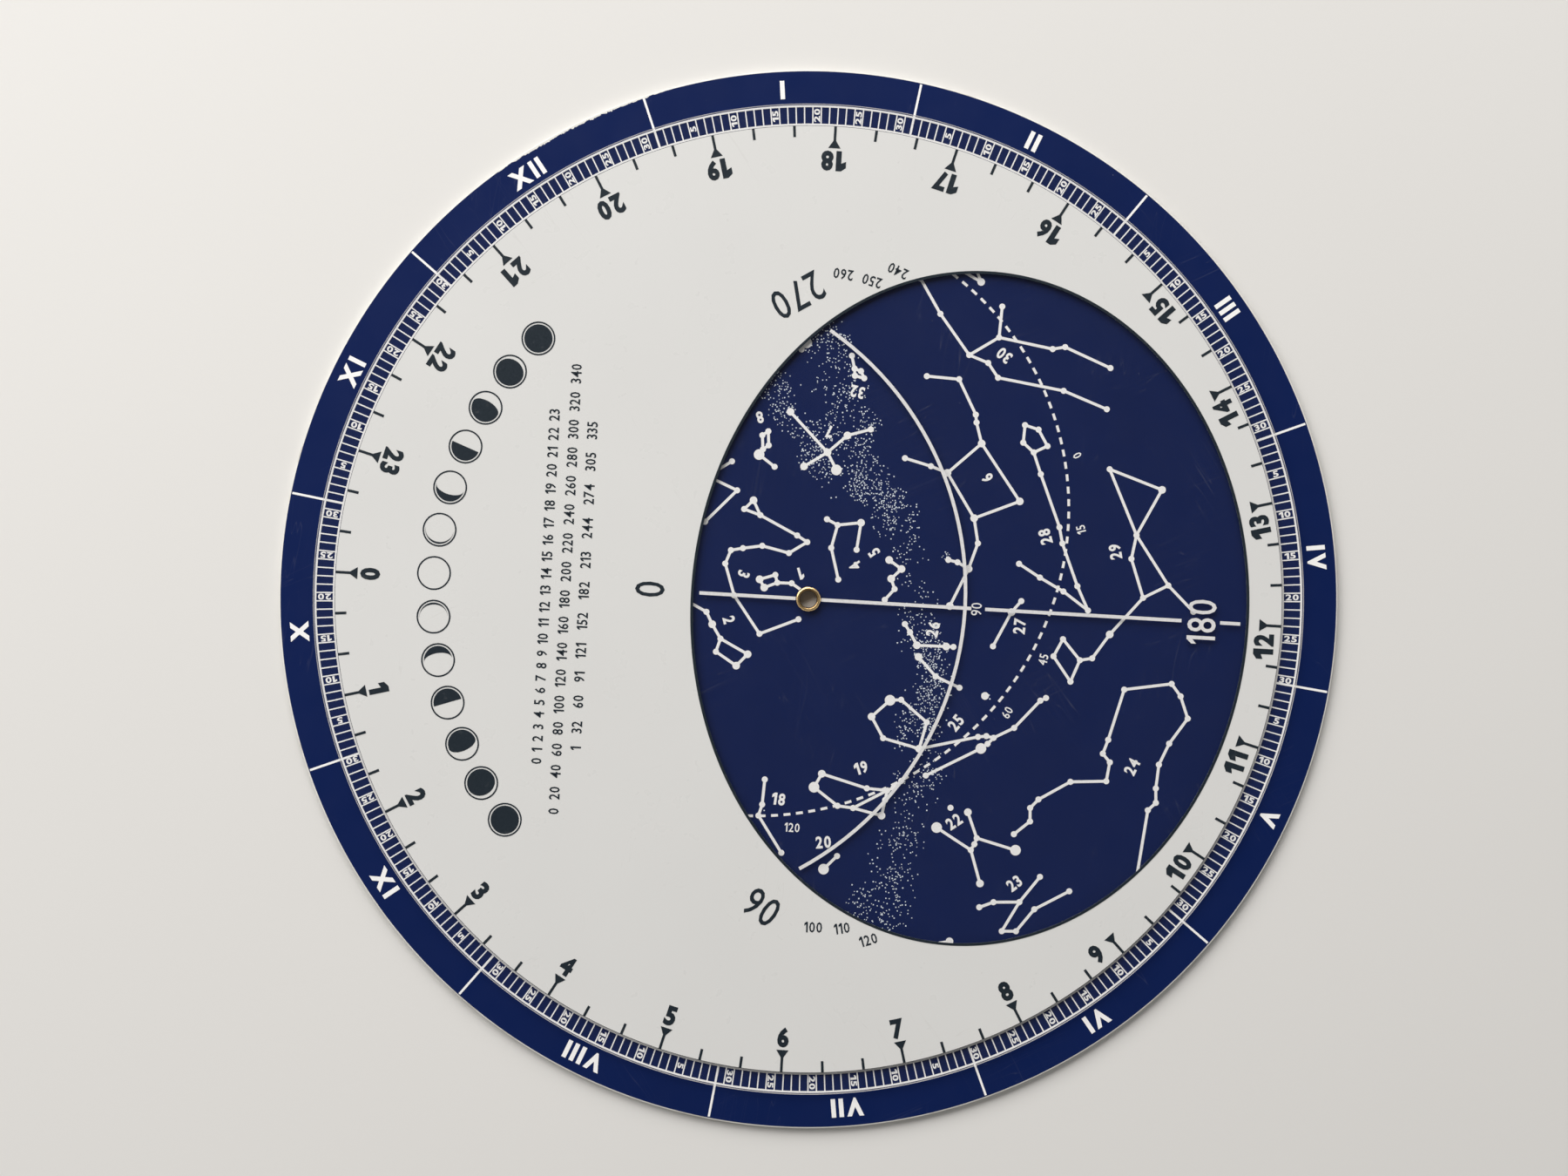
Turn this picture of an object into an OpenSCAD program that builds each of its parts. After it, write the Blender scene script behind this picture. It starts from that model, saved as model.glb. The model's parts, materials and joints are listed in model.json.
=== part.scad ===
// Planisphere: a round star disc with a date scale, and a clear overlay with a
// masked horizon window that turns on the disc about a rolled brass eyelet.
// The eyelet stands at the celestial pole of the chart. All sizes are in millimetres.
// Origin: on the eyelet's axis, on the surface that the part lies on, with +Z up.
// Angles on the faces are clockwise from +Y, as a person reads a dial.

/* [Star disc] */
// Diameter of the star disc
disc_d = 200; // [180:1:240]
// Thickness of the star disc
disc_t = 0.8; // [0.5:0.05:1.5]
// Thickness of each printed ink film
ink_t = 0.04; // [0.02:0.01:0.08]
// White edge left bare round the navy print
bare_edge = 0.25; // [0.1:0.05:1]
// Clearance between the eyelet and the hole in the star disc
disc_fit = 0.02; // [0.01:0.01:0.05]

/* [Date scale] */
// Width of the band for the months, from the outer ring to the rim
month_band_w = 6.7; // [5:0.1:10]
// Width of the band for the days, between the two rings
day_band_w = 3.1; // [2:0.1:4]
// Width of each of the two rings
ring_w = 0.35; // [0.25:0.05:0.8]
// Width of a line between two days
day_line_w = 0.24; // [0.16:0.02:0.6]
// Width of a line between two months
month_line_w = 0.42; // [0.3:0.02:1.2]
// Gap between a month line and the rim of the print
month_line_end = 0.2; // [0.1:0.05:1]
// Direction of the first of January when the overlay is at rest
january_turn = 341.8; // [0:0.1:360]

/* [Star chart] */
// Radius of the celestial equator on the chart
equator_r = 55; // [48:0.5:62]
// Turn of the projection line for each degree of polar distance
chart_rate = 0.362; // [0.3:0.002:0.4]
// Day of the year whose mark lies against right ascension zero
equinox_day = 81.2; // [79:0.1:83]
// Width of the lines between the stars
figure_line_w = 0.54; // [0.3:0.02:1]
// Radius of a bright star's dot
bright_r = 1; // [0.8:0.05:1.5]
// Radius of a middling star's dot
middling_r = 0.72; // [0.5:0.02:1.2]
// Radius of a faint star's dot
faint_r = 0.57; // [0.4:0.01:1]
// Pitch of the dashes along the ecliptic
dash_pitch = 2.35; // [1.8:0.05:4]
// Length of one dash
dash_l = 1.3; // [0.8:0.05:1.7]
// Width of one dash
dash_w = 0.5; // [0.3:0.02:0.9]
// Navy margin between the outermost stars and the date scale
chart_margin = 0.5; // [0.3:0.1:3]
// Tilt of the ecliptic to the equator
obliquity = 23.44; // [20:0.01:26]

/* [Overlay] */
// Thickness of the clear overlay
overlay_t = 0.5; // [0.3:0.05:1]
// How far the overlay's rim reaches past the outer ring of the date scale
overlay_reach = 0.2; // [0.1:0.1:2]
// Navy gap between the inner ring of the date scale and the mask
mask_gap = 0.2; // [0.1:0.05:1]
// Direction of noon on the hour scale, which is south in the window
noon_turn = 93.3; // [0:0.1:360]
// Width of the horizon window from east to west
window_w = 127.4; // [110:0.1:134]
// Distance from the pole to the north edge of the window
window_north_r = 22.2; // [18:0.1:26]
// Mask left between the south edge of the window and the hour pointers
pointer_margin = 2; // [1:0.1:6]
// Width of the dark line round the window
border_w = 0.5; // [0.3:0.05:1]

/* [Hour scale] */
// Length of a twenty-minute tick
tick_l = 2.1; // [1:0.1:3]
// Width of the ticks and of the pointers' stems
tick_w = 0.5; // [0.3:0.05:0.8]
// Length of a pointer's stem
stem_l = 2.7; // [1.5:0.1:4]
// Length of a pointer's head
head_l = 1.4; // [1:0.1:2.5]
// Width of a pointer's head
head_w = 2.3; // [1.2:0.1:3]

/* [Sight lines] */
// Width of the meridian line and of the prime vertical
sight_w = 0.65; // [0.4:0.05:1.2]
// Distance from the pole to the zenith
zenith_r = 29.6; // [27:0.1:33]
// Distance from the pole to the east and west points of the prime vertical
east_west_r = 51.6; // [45:0.1:52]
// Gap between the ends of the lines and the window's dark line
sight_gap = 1.1; // [0.5:0.1:3]
// Distance from the zenith to the break in the meridian line
break_start = 1.2; // [1:0.1:3]
// Length of the break in the meridian line
break_l = 2.6; // [1:0.1:5]
// Length of the gap in the meridian line where the south mark stands
south_gap_l = 7.3; // [5:0.1:12]
// Length of the dash past the south mark
south_dash_l = 3.8; // [1:0.1:6]

/* [Eyelet] */
// Radius of the hole through the eyelet
bore_r = 1.6; // [1.2:0.05:3]
// Thickness of the eyelet's brass
brass_t = 0.25; // [0.15:0.01:0.4]
// Inner radius of the eyelet's rolled rims
curl_r = 0.12; // [0.08:0.01:0.2]
// Clearance between the eyelet and the overlay, on the radius
turn_fit = 0.05; // [0.02:0.01:0.09]
// Clearance between the overlay and the eyelet's upper rim
rim_fit = 0.08; // [0.05:0.01:0.2]
// Gap between the star disc's print and the overlay
overlay_gap = 0.3; // [0.2:0.05:0.6]
// Bare ring kept round the eyelet's rims
eyelet_margin = 0.06; // [0.05:0.01:0.3]

/* [Hidden] */
$fn = 96;

days = 365;
day_step = 360 / days;
MONTH_LENGTHS = [31, 28, 31, 30, 31, 30, 31, 31, 30, 31, 30, 31];
HOURS = 24;
hour_step = 360 / HOURS;
TICKS_PER_HOUR = 3;
WINDOW_SIDES = 180;
ECLIPTIC_STEPS = 180;

// Radii of the date scale, from the rim inwards
disc_r = disc_d / 2;
print_r = disc_r - bare_edge;
outer_ring_r = disc_r - month_band_w;
day_outer_r = outer_ring_r - ring_w;
day_inner_r = day_outer_r - day_band_w;
inner_ring_r = day_inner_r - ring_w;

// Radii of the overlay
overlay_r = outer_ring_r + overlay_reach;
mask_r = inner_ring_r - mask_gap;

// The window, which is an ellipse about a point south of the pole
window_south_r = mask_r - stem_l - head_l - pointer_margin;
window_half_h = (window_south_r + window_north_r) / 2;
window_half_w = window_w / 2;
window_shift = (window_south_r - window_north_r) / 2;

// Ends of the meridian line's pieces, as distances from the pole
sight_inset = border_w + sight_gap;
north_end_r = window_north_r - sight_inset;
dash_end_r = window_south_r - sight_inset;
dash_start_r = dash_end_r - south_dash_l;
south_end_r = dash_start_r - south_gap_l;

// The prime vertical, an arc through the west point, the zenith and the east point
arc_r = (zenith_r * zenith_r + east_west_r * east_west_r) / (2 * zenith_r);
arc_centre_r = zenith_r - arc_r;

// Radii of the eyelet, its holes and its rolled rims
barrel_r = bore_r + brass_t;
curl_centre_r = barrel_r + curl_r;
curl_out_r = curl_r + brass_t;
flange_r = curl_centre_r + curl_out_r;
disc_hole_r = barrel_r + disc_fit;
overlay_hole_r = barrel_r + turn_fit;
clear_r = flange_r + eyelet_margin;

// Heights, from the lower rim of the eyelet upwards
disc_z = curl_out_r;
navy_z = disc_z + disc_t;
white_z = navy_z + ink_t;
overlay_z = white_z + ink_t + overlay_gap;
mask_z = overlay_z + overlay_t;
dark_z = mask_z + ink_t;
upper_curl_z = mask_z + rim_fit;

// The projection: polar distance turns a line through the pole's far side, and
// the line meets the chart at the star's radius
chart_focus = equator_r / tan(chart_rate * 90);
chart_zero = january_turn + equinox_day * day_step;
chart_edge_r = inner_ring_r - chart_margin - bright_r;
STAR_R = [bright_r, middling_r, faint_r];

function at(r, turn) = [r * sin(turn), r * cos(turn)];
function chart_r(dec) = chart_focus * tan(chart_rate * (90 - dec));
function sky(hours, dec) = at(chart_r(dec), chart_zero + hour_step * hours);
function day_turn(day) = january_turn + day * day_step;
function hour_turn(hour) = noon_turn + hour_step * (HOURS / 2 - hour);
function sum_to(list, n) = n <= 0 ? 0 : list[n - 1] + sum_to(list, n - 1);

// Where the ecliptic's longitude falls on the chart
function ecliptic_hours(lon) = atan2(cos(obliquity) * sin(lon), cos(lon)) / hour_step;
function ecliptic_dec(lon) = asin(sin(obliquity) * sin(lon));
function ecliptic_at(lon) = sky(ecliptic_hours(lon), ecliptic_dec(lon));

// Distances run along the ecliptic's line on the chart, each with its longitude
ecliptic_run = [
  for (i = 0, run = 0; i <= ECLIPTIC_STEPS; i = i + 1,
       run = run + norm(ecliptic_at(i * 360 / ECLIPTIC_STEPS)
                        - ecliptic_at((i - 1) * 360 / ECLIPTIC_STEPS)))
    [run, i * 360 / ECLIPTIC_STEPS]];

// Angle from the zenith to where the prime vertical meets an ellipse that lies
// inside the window by the sight lines' inset
function arc_half_sweep() =
  let (half_h = window_half_h - sight_inset,
       half_w = window_half_w - sight_inset,
       offset = arc_centre_r - window_shift,
       square = pow(arc_r / half_h, 2) - pow(arc_r / half_w, 2),
       linear = 2 * arc_r * offset / pow(half_h, 2),
       constant = pow(offset / half_h, 2) + pow(arc_r / half_w, 2) - 1)
  acos(2 * constant / (sqrt(pow(linear, 2) - 4 * square * constant) - linear));

// Each figure is [stars, strokes]. A star is [right ascension in hours,
// declination in degrees, size class], and a stroke joins stars in order.
LITTLE_BEAR = [
  [[2.5, 89.3, 2], [17.54, 86.6, 3], [16.77, 82.0, 3], [15.73, 77.8, 3],
   [14.85, 74.2, 2], [15.35, 71.8, 2], [16.29, 75.8, 3]],
  [[1, 2, 3, 4, 5, 6, 3]]];
GREAT_BEAR = [
  [[13.79, 49.3, 3], [13.40, 54.9, 3], [12.90, 56.0, 2], [12.26, 57.0, 3],
   [11.06, 61.8, 2], [11.03, 56.4, 2], [11.90, 53.7, 3]],
  [[0, 1, 2, 3, 4, 5, 6, 3]]];
DRAGON = [
  [[9.62, 82.2, 3], [11.52, 69.3, 3], [14.07, 64.4, 3], [15.42, 59.0, 3],
   [16.03, 58.6, 3], [16.40, 61.5, 3], [17.15, 65.7, 3], [18.35, 72.7, 3],
   [19.80, 70.3, 3], [19.21, 67.7, 3], [17.89, 56.9, 3], [17.94, 51.5, 2],
   [17.51, 52.3, 3]],
  [[0, 1, 2, 3, 4, 5, 6, 7, 8, 9, 10, 11, 12, 10]]];
CEPHEUS = [
  [[20.75, 61.8, 3], [21.31, 62.6, 3], [22.18, 58.2, 2], [22.83, 66.2, 3],
   [21.48, 70.6, 3], [23.66, 77.6, 3]],
  [[0, 1, 2, 3], [1, 4, 5]]];
CASSIOPEIA = [
  [[0.15, 59.2, 2], [0.68, 56.5, 2], [0.95, 60.7, 2], [1.43, 60.2, 3], [1.91, 63.7, 3]],
  [[0, 1, 2, 3, 4]]];
PEGASUS_ANDROMEDA = [
  [[0.14, 29.1, 2], [23.06, 28.1, 2], [23.08, 15.2, 2], [0.22, 15.2, 2],
   [0.66, 30.9, 3], [1.16, 35.6, 2], [2.06, 42.3, 2], [0.95, 38.5, 3], [0.83, 41.1, 3],
   [22.72, 30.2, 3], [22.17, 33.2, 3], [22.78, 12.2, 3], [22.69, 10.8, 3],
   [22.17, 6.2, 3], [21.74, 9.9, 3]],
  [[0, 1, 2, 3, 0, 4, 5, 6], [5, 7, 8], [1, 9, 10], [2, 11, 12, 13, 14]]];
SWAN = [
  [[20.69, 45.3, 1], [20.37, 40.3, 2], [19.51, 28.0, 2], [19.75, 45.1, 2],
   [20.77, 34.0, 2], [21.22, 30.2, 3]],
  [[0, 1, 2], [3, 1, 4, 5]]];
LYRE = [
  [[18.62, 38.8, 1], [18.92, 43.9, 3], [18.75, 37.6, 3], [18.91, 36.9, 3],
   [18.98, 32.7, 3], [18.83, 33.4, 3]],
  [[1, 0, 2, 3, 4, 5, 2]]];
HERCULES = [
  [[17.94, 37.3, 3], [17.25, 36.8, 3], [17.66, 46.0, 3], [16.33, 46.3, 3],
   [16.71, 38.9, 3], [16.69, 31.6, 3], [17.00, 30.9, 3], [16.50, 21.5, 2], [17.25, 24.8, 3]],
  [[0, 1, 2, 3], [1, 4, 5, 6, 1], [5, 7], [6, 8]]];
HERDSMAN = [
  [[13.91, 18.4, 3], [14.26, 19.2, 1], [14.75, 27.1, 2], [15.26, 33.3, 3], [15.03, 40.4, 3],
   [14.53, 38.3, 3], [14.53, 30.4, 3], [14.69, 13.7, 3]],
  [[0, 1, 2, 3, 4, 5, 6, 1, 7]]];
NORTHERN_CROWN = [
  [[15.55, 31.4, 3], [15.46, 29.1, 3], [15.58, 26.7, 2], [15.78, 26.2, 3],
   [15.96, 26.9, 3], [16.02, 29.9, 3]],
  [[0, 1, 2, 3, 4, 5]]];
HUNTING_DOGS = [[[12.93, 38.3, 2], [12.56, 41.4, 3]], [[0, 1]]];
LION = [
  [[9.76, 23.8, 3], [9.88, 26.0, 3], [10.28, 23.4, 3], [10.33, 19.8, 2], [10.12, 16.8, 3],
   [10.14, 12.0, 1], [11.24, 15.4, 3], [11.82, 14.6, 2], [11.24, 20.5, 2]],
  [[0, 1, 2, 3, 4, 5, 6, 7, 8, 3], [6, 8]]];
VIRGIN = [
  [[11.84, 1.8, 3], [12.33, -0.7, 3], [12.69, -1.4, 2], [12.93, 3.4, 3], [13.04, 11.0, 2],
   [13.17, -5.5, 3], [13.42, -11.2, 1], [13.58, -0.6, 3], [14.03, 1.5, 3], [14.77, 1.9, 3],
   [14.27, -6.0, 3], [14.72, -5.7, 3]],
  [[0, 1, 2, 5, 6, 10, 11], [2, 3, 4], [3, 7, 8, 9]]];
RAVEN = [
  [[12.14, -24.7, 3], [12.17, -22.6, 3], [12.26, -17.5, 3], [12.50, -16.5, 3], [12.57, -23.4, 3]],
  [[0, 1, 2, 3, 4, 1]]];
CUP = [
  [[11.00, -18.3, 3], [11.32, -14.8, 3], [11.41, -17.7, 3], [11.19, -22.8, 3]],
  [[0, 1, 2, 3, 0]]];
WATER_SNAKE = [
  [[8.63, 5.7, 3], [8.70, 3.4, 3], [8.85, 6.2, 3], [9.24, 2.3, 3], [9.66, -1.1, 3],
   [9.46, -8.7, 2], [9.86, -14.8, 3], [10.18, -12.4, 3], [10.43, -16.8, 3], [10.83, -16.2, 3],
   [11.55, -31.9, 3], [11.88, -33.9, 3], [13.32, -23.2, 3], [14.11, -26.7, 3]],
  [[0, 1, 2, 0], [2, 3, 4, 5, 6, 7, 8, 9, 10, 11, 12, 13]]];
CRAB = [
  [[8.78, 28.8, 3], [8.72, 21.5, 3], [8.74, 18.2, 3], [8.28, 9.2, 3]],
  [[0, 1, 2, 3]]];
TWINS = [
  [[7.58, 31.9, 2], [7.76, 28.0, 1], [6.73, 25.1, 3], [6.38, 22.5, 3], [6.25, 22.5, 3],
   [6.07, 23.3, 3], [7.34, 22.0, 3], [7.07, 20.6, 3], [6.63, 16.4, 2], [6.48, 20.2, 3]],
  [[0, 2, 3, 4, 5], [0, 1, 6, 7, 8, 9, 3, 7]]];
LITTLE_DOG = [[[7.66, 5.2, 1], [7.45, 8.3, 3]], [[0, 1]]];
GREAT_DOG = [
  [[6.75, -16.7, 1], [6.38, -18.0, 2], [7.05, -23.8, 3], [7.14, -26.4, 2], [6.98, -29.0, 2],
   [7.40, -29.3, 3]],
  [[1, 0, 2, 3, 4], [3, 5]]];
ORION = [
  [[5.59, 9.9, 3], [5.92, 7.4, 1], [5.42, 6.3, 2], [5.53, -0.3, 3], [5.60, -1.2, 3],
   [5.68, -1.9, 3], [5.24, -8.2, 1], [5.80, -9.7, 2]],
  [[1, 5, 7], [2, 3, 4, 5], [3, 6]]];
HARE = [
  [[5.94, -14.2, 3], [5.78, -14.8, 3], [5.55, -17.8, 3], [5.22, -16.2, 3], [5.86, -20.9, 3],
   [5.74, -22.4, 3], [5.47, -20.8, 3], [5.09, -22.4, 3]],
  [[0, 1, 2], [3, 2, 4, 5, 6, 7]]];
RIVER = [
  [[5.13, -5.1, 3], [4.88, -5.5, 3], [4.76, -3.3, 3], [4.61, -3.4, 3], [4.20, -6.8, 3],
   [3.97, -13.5, 3], [3.77, -12.1, 3], [3.72, -9.8, 3], [3.55, -9.5, 3], [2.94, -8.9, 3],
   [2.75, -18.6, 3], [2.85, -21.0, 3], [3.04, -23.6, 3], [3.33, -21.8, 3], [3.56, -21.6, 3],
   [3.78, -23.2, 3], [3.90, -24.6, 3], [4.00, -24.0, 3], [4.56, -29.8, 3]],
  [[0, 1, 2, 3, 4, 5, 6, 7, 8, 9, 10, 11, 12, 13, 14, 15, 16, 17, 18]]];
BULL_CHARIOTEER = [
  [[5.63, 21.1, 3], [4.60, 16.5, 1], [4.47, 15.9, 3], [4.33, 15.6, 3], [4.01, 12.5, 3],
   [3.45, 9.7, 3], [3.38, 8.6, 3], [4.38, 17.5, 3], [4.48, 19.2, 3], [5.44, 28.6, 2],
   [4.95, 33.2, 3], [5.03, 43.8, 3], [5.28, 46.0, 1], [5.99, 44.9, 2], [5.99, 37.2, 3],
   [3.79, 24.1, 2]],
  [[0, 1, 2, 3, 4, 5, 6], [3, 7, 8, 9, 10, 11, 12, 13, 14, 9]]];
PERSEUS = [
  [[2.84, 55.9, 3], [3.08, 53.5, 3], [3.41, 49.9, 2], [3.14, 41.0, 2], [3.09, 38.8, 3],
   [3.72, 47.8, 2], [3.96, 40.0, 3], [3.90, 31.9, 3]],
  [[0, 1, 2, 3, 4], [5, 6, 7]]];
RAM = [[[2.83, 27.3, 3], [2.12, 23.5, 2], [1.91, 20.8, 3]], [[0, 1, 2]]];
FISHES = [
  [[1.24, 20.6, 3], [1.52, 15.3, 3], [1.76, 9.2, 3], [2.03, 2.8, 3], [1.69, 5.5, 3],
   [1.05, 7.9, 3], [0.81, 7.6, 3], [23.99, 6.9, 3], [23.67, 5.6, 3], [23.47, 6.4, 3],
   [23.29, 3.3, 3], [23.45, 1.3, 3], [23.70, 1.8, 3]],
  [[0, 1, 2, 3, 4, 5, 6, 7, 8, 9, 10, 11, 12, 8]]];
WHALE = [
  [[2.47, 8.5, 3], [2.75, 10.1, 3], [3.04, 4.1, 3], [2.72, 3.2, 3], [2.66, 0.3, 3],
   [2.32, -3.0, 2], [1.86, -10.3, 3], [1.40, -8.2, 3], [1.14, -10.2, 3], [0.32, -8.8, 3],
   [0.73, -18.0, 2], [1.73, -15.9, 3], [2.00, -21.1, 3]],
  [[3, 0, 1, 2, 3, 4, 5, 6, 7, 8, 9, 10, 8, 11, 6], [11, 12]]];
WATER_CARRIER = [
  [[21.16, -11.4, 3], [21.53, -5.6, 3], [22.10, -0.3, 3], [22.36, -1.4, 3], [22.58, -0.1, 3],
   [23.26, -9.1, 3], [23.71, -14.5, 3], [22.28, -7.8, 3], [22.11, -13.9, 3],
   [22.83, -13.6, 3], [22.91, -15.8, 3], [23.38, -20.1, 3]],
  [[0, 1, 2, 3, 4, 5, 6], [2, 7, 8], [7, 9, 10, 11]]];
SEA_GOAT = [
  [[20.30, -12.5, 3], [20.35, -14.8, 3], [20.86, -26.9, 3], [21.44, -22.4, 3],
   [21.78, -16.1, 2], [21.37, -16.8, 3], [21.10, -17.2, 3]],
  [[0, 1, 2, 3, 4, 5, 6, 1]]];
DOLPHIN = [
  [[20.55, 11.3, 3], [20.63, 14.6, 3], [20.74, 14.9, 3], [20.66, 16.5, 3], [20.82, 16.6, 3]],
  [[0, 1, 3, 4, 2, 1]]];
EAGLE = [
  [[19.85, 8.9, 1], [19.77, 10.6, 3], [19.92, 6.4, 3], [20.19, -0.8, 3], [19.42, 3.1, 3],
   [19.10, -4.9, 3], [19.09, 13.9, 3]],
  [[1, 0, 2, 3], [6, 0, 4, 5]]];
SERPENT_BEARER = [
  [[17.58, 12.6, 2], [16.96, 9.4, 3], [16.24, -3.7, 3], [16.30, -4.7, 3], [16.62, -10.6, 3],
   [17.17, -15.7, 2], [17.72, 4.6, 3]],
  [[0, 1, 2, 3, 4, 5, 6, 0]]];
SERPENT = [
  [[15.94, 15.7, 3], [15.77, 15.4, 3], [15.58, 10.5, 3], [15.74, 6.4, 2], [15.83, -3.4, 3]],
  [[0, 1, 2, 3, 4]]];
SCALES = [
  [[15.59, -14.8, 3], [15.28, -9.4, 2], [14.85, -16.0, 2], [15.07, -25.3, 3]],
  [[0, 1, 2, 3]]];
SCORPION = [
  [[16.09, -19.8, 3], [16.01, -22.6, 2], [15.98, -26.1, 3], [16.49, -26.4, 1],
   [16.60, -28.2, 3], [16.84, -34.3, 2]],
  [[0, 1, 2], [1, 3, 4, 5]]];
ARCHER = [
  [[18.10, -30.4, 3], [18.35, -29.8, 3], [18.40, -34.4, 2], [19.04, -29.9, 3],
   [18.92, -26.3, 2], [18.76, -27.0, 3], [18.47, -25.4, 3], [18.23, -21.1, 3]],
  [[0, 1, 2, 3, 4, 5, 6, 7], [6, 1]]];
SOUTHERN_FISH = [
  [[22.96, -29.6, 1]],
  []];

FIGURES = [LITTLE_BEAR, GREAT_BEAR, DRAGON, CEPHEUS, CASSIOPEIA, PEGASUS_ANDROMEDA,
           SWAN, LYRE, HERCULES, HERDSMAN, NORTHERN_CROWN, HUNTING_DOGS, LION, VIRGIN,
           RAVEN, CUP, WATER_SNAKE, CRAB, TWINS, LITTLE_DOG, GREAT_DOG, ORION, HARE,
           RIVER, BULL_CHARIOTEER, PERSEUS, RAM, FISHES, WHALE, WATER_CARRIER, SEA_GOAT,
           DOLPHIN, EAGLE, SERPENT_BEARER, SERPENT, SCALES, SCORPION, ARCHER,
           SOUTHERN_FISH];

// A straight bar of ink between two points, square at its ends
module bar(from, to, w) {
  run = to - from;
  translate(from) rotate(atan2(run[1], run[0]))
    translate([0, -w / 2]) square([norm(run), w]);
}

// A straight bar of ink along a radius
module spoke(r_in, r_out, turn, w) {
  bar(at(r_in, turn), at(r_out, turn), w);
}

module ring(r_out, r_in) {
  difference() {
    circle(r = r_out);
    circle(r = r_in);
  }
}

// The outline of the window, grown by a margin on every side
module window_outline(margin) {
  rotate(90 - noon_turn) translate([window_shift, 0])
    polygon([for (i = [0:WINDOW_SIDES - 1])
      [(window_half_h + margin) * cos(i * 360 / WINDOW_SIDES),
       (window_half_w + margin) * sin(i * 360 / WINDOW_SIDES)]]);
}

// The white plastic disc that everything is printed on
module star_disc() {
  color("white") translate([0, 0, disc_z])
    linear_extrude(disc_t) ring(disc_r, disc_hole_r);
}

// The navy ink that covers the face, short of the rim
module navy_print() {
  color("midnightblue") translate([0, 0, navy_z])
    linear_extrude(ink_t) ring(print_r, disc_hole_r);
}

// Two rings with a line between each pair of days
module date_scale() {
  month_starts = [for (m = [0:11]) sum_to(MONTH_LENGTHS, m)];
  color("white") translate([0, 0, white_z]) linear_extrude(ink_t) {
    ring(outer_ring_r, day_outer_r);
    ring(day_inner_r, inner_ring_r);
    for (day = [0:days - 1]) {
      starts_month = len(search(day, month_starts)) > 0;
      spoke(day_inner_r - ring_w / 2, day_outer_r + ring_w / 2, day_turn(day),
            starts_month ? month_line_w : day_line_w);
    }
  }
}

// A line from the outer ring to the rim before each month
module month_lines() {
  color("white") translate([0, 0, white_z]) linear_extrude(ink_t)
    for (m = [0:11])
      spoke(outer_ring_r, print_r - month_line_end, day_turn(sum_to(MONTH_LENGTHS, m)),
            month_line_w);
}

// One constellation: its dots and the lines that join them, inside the chart's edge
module figure(stars, strokes) {
  points = [for (s = stars) sky(s[0], s[1])];
  for (i = [0:len(stars) - 1])
    if (norm(points[i]) < chart_edge_r)
      translate(points[i]) circle(r = STAR_R[stars[i][2] - 1]);
  for (stroke = strokes, k = [1:len(stroke) - 1]) {
    from = points[stroke[k - 1]];
    to = points[stroke[k]];
    if (max(norm(from), norm(to)) < chart_edge_r) bar(from, to, figure_line_w);
  }
}

// Straight dashes along the ecliptic, spaced evenly along its line
module ecliptic() {
  dashes = round(ecliptic_run[ECLIPTIC_STEPS][0] / dash_pitch);
  pitch = ecliptic_run[ECLIPTIC_STEPS][0] / dashes;
  for (i = [0:dashes - 1])
    bar(ecliptic_at(lookup(i * pitch, ecliptic_run)),
        ecliptic_at(lookup(i * pitch + dash_l, ecliptic_run)), dash_w);
}

// The white star chart, with a clear ring round the eyelet
module star_chart() {
  color("white") translate([0, 0, white_z]) linear_extrude(ink_t)
    difference() {
      union() {
        for (f = FIGURES) figure(f[0], f[1]);
        ecliptic();
      }
      circle(r = clear_r);
    }
}

// The clear plastic disc that turns over the chart
module overlay_sheet() {
  color([0.85, 0.9, 0.95, 0.3]) translate([0, 0, overlay_z])
    linear_extrude(overlay_t) ring(overlay_r, overlay_hole_r);
}

// The off-white ink that hides the sky below the horizon
module horizon_mask() {
  color("gainsboro") translate([0, 0, mask_z]) linear_extrude(ink_t)
    difference() {
      circle(r = mask_r);
      window_outline(-border_w);
    }
}

// The dark line printed over the mask's inner edge
module window_border() {
  color("darkslategray") translate([0, 0, dark_z]) linear_extrude(ink_t)
    difference() {
      window_outline(0);
      window_outline(-border_w);
    }
}

// A pointer at each hour, with two ticks between
module hour_scale() {
  color("darkslategray") translate([0, 0, dark_z]) linear_extrude(ink_t)
    for (i = [0:HOURS * TICKS_PER_HOUR - 1])
      if (i % TICKS_PER_HOUR == 0) pointer(hour_turn(i / TICKS_PER_HOUR));
      else spoke(mask_r - tick_l, mask_r, hour_turn(i / TICKS_PER_HOUR), tick_w);
}

// A stem from the mask's edge inwards to a head that points outwards
module pointer(turn) {
  neck_r = mask_r - stem_l;
  base_r = neck_r - head_l;
  rotate(-turn) polygon([
    [-tick_w / 2, mask_r], [tick_w / 2, mask_r], [tick_w / 2, neck_r],
    [head_w / 2, base_r], [-head_w / 2, base_r], [-tick_w / 2, neck_r]]);
}

// The meridian line in its pieces, and the prime vertical
module sight_lines() {
  break_r = zenith_r + break_start;
  half_sweep = arc_half_sweep();
  color("silver") translate([0, 0, mask_z]) {
    linear_extrude(ink_t) {
      spoke(clear_r, north_end_r, hour_turn(0), sight_w);
      spoke(break_r + break_l, south_end_r, noon_turn, sight_w);
      spoke(dash_start_r, dash_end_r, noon_turn, sight_w);
    }
    union() {
      linear_extrude(ink_t) spoke(clear_r, break_r, noon_turn, sight_w);
      rotate([0, 0, 90 - noon_turn]) translate([arc_centre_r, 0, 0])
        rotate([0, 0, -half_sweep]) rotate_extrude(angle = 2 * half_sweep)
          translate([arc_r - sight_w / 2, 0]) square([sight_w, ink_t]);
    }
  }
}

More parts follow.
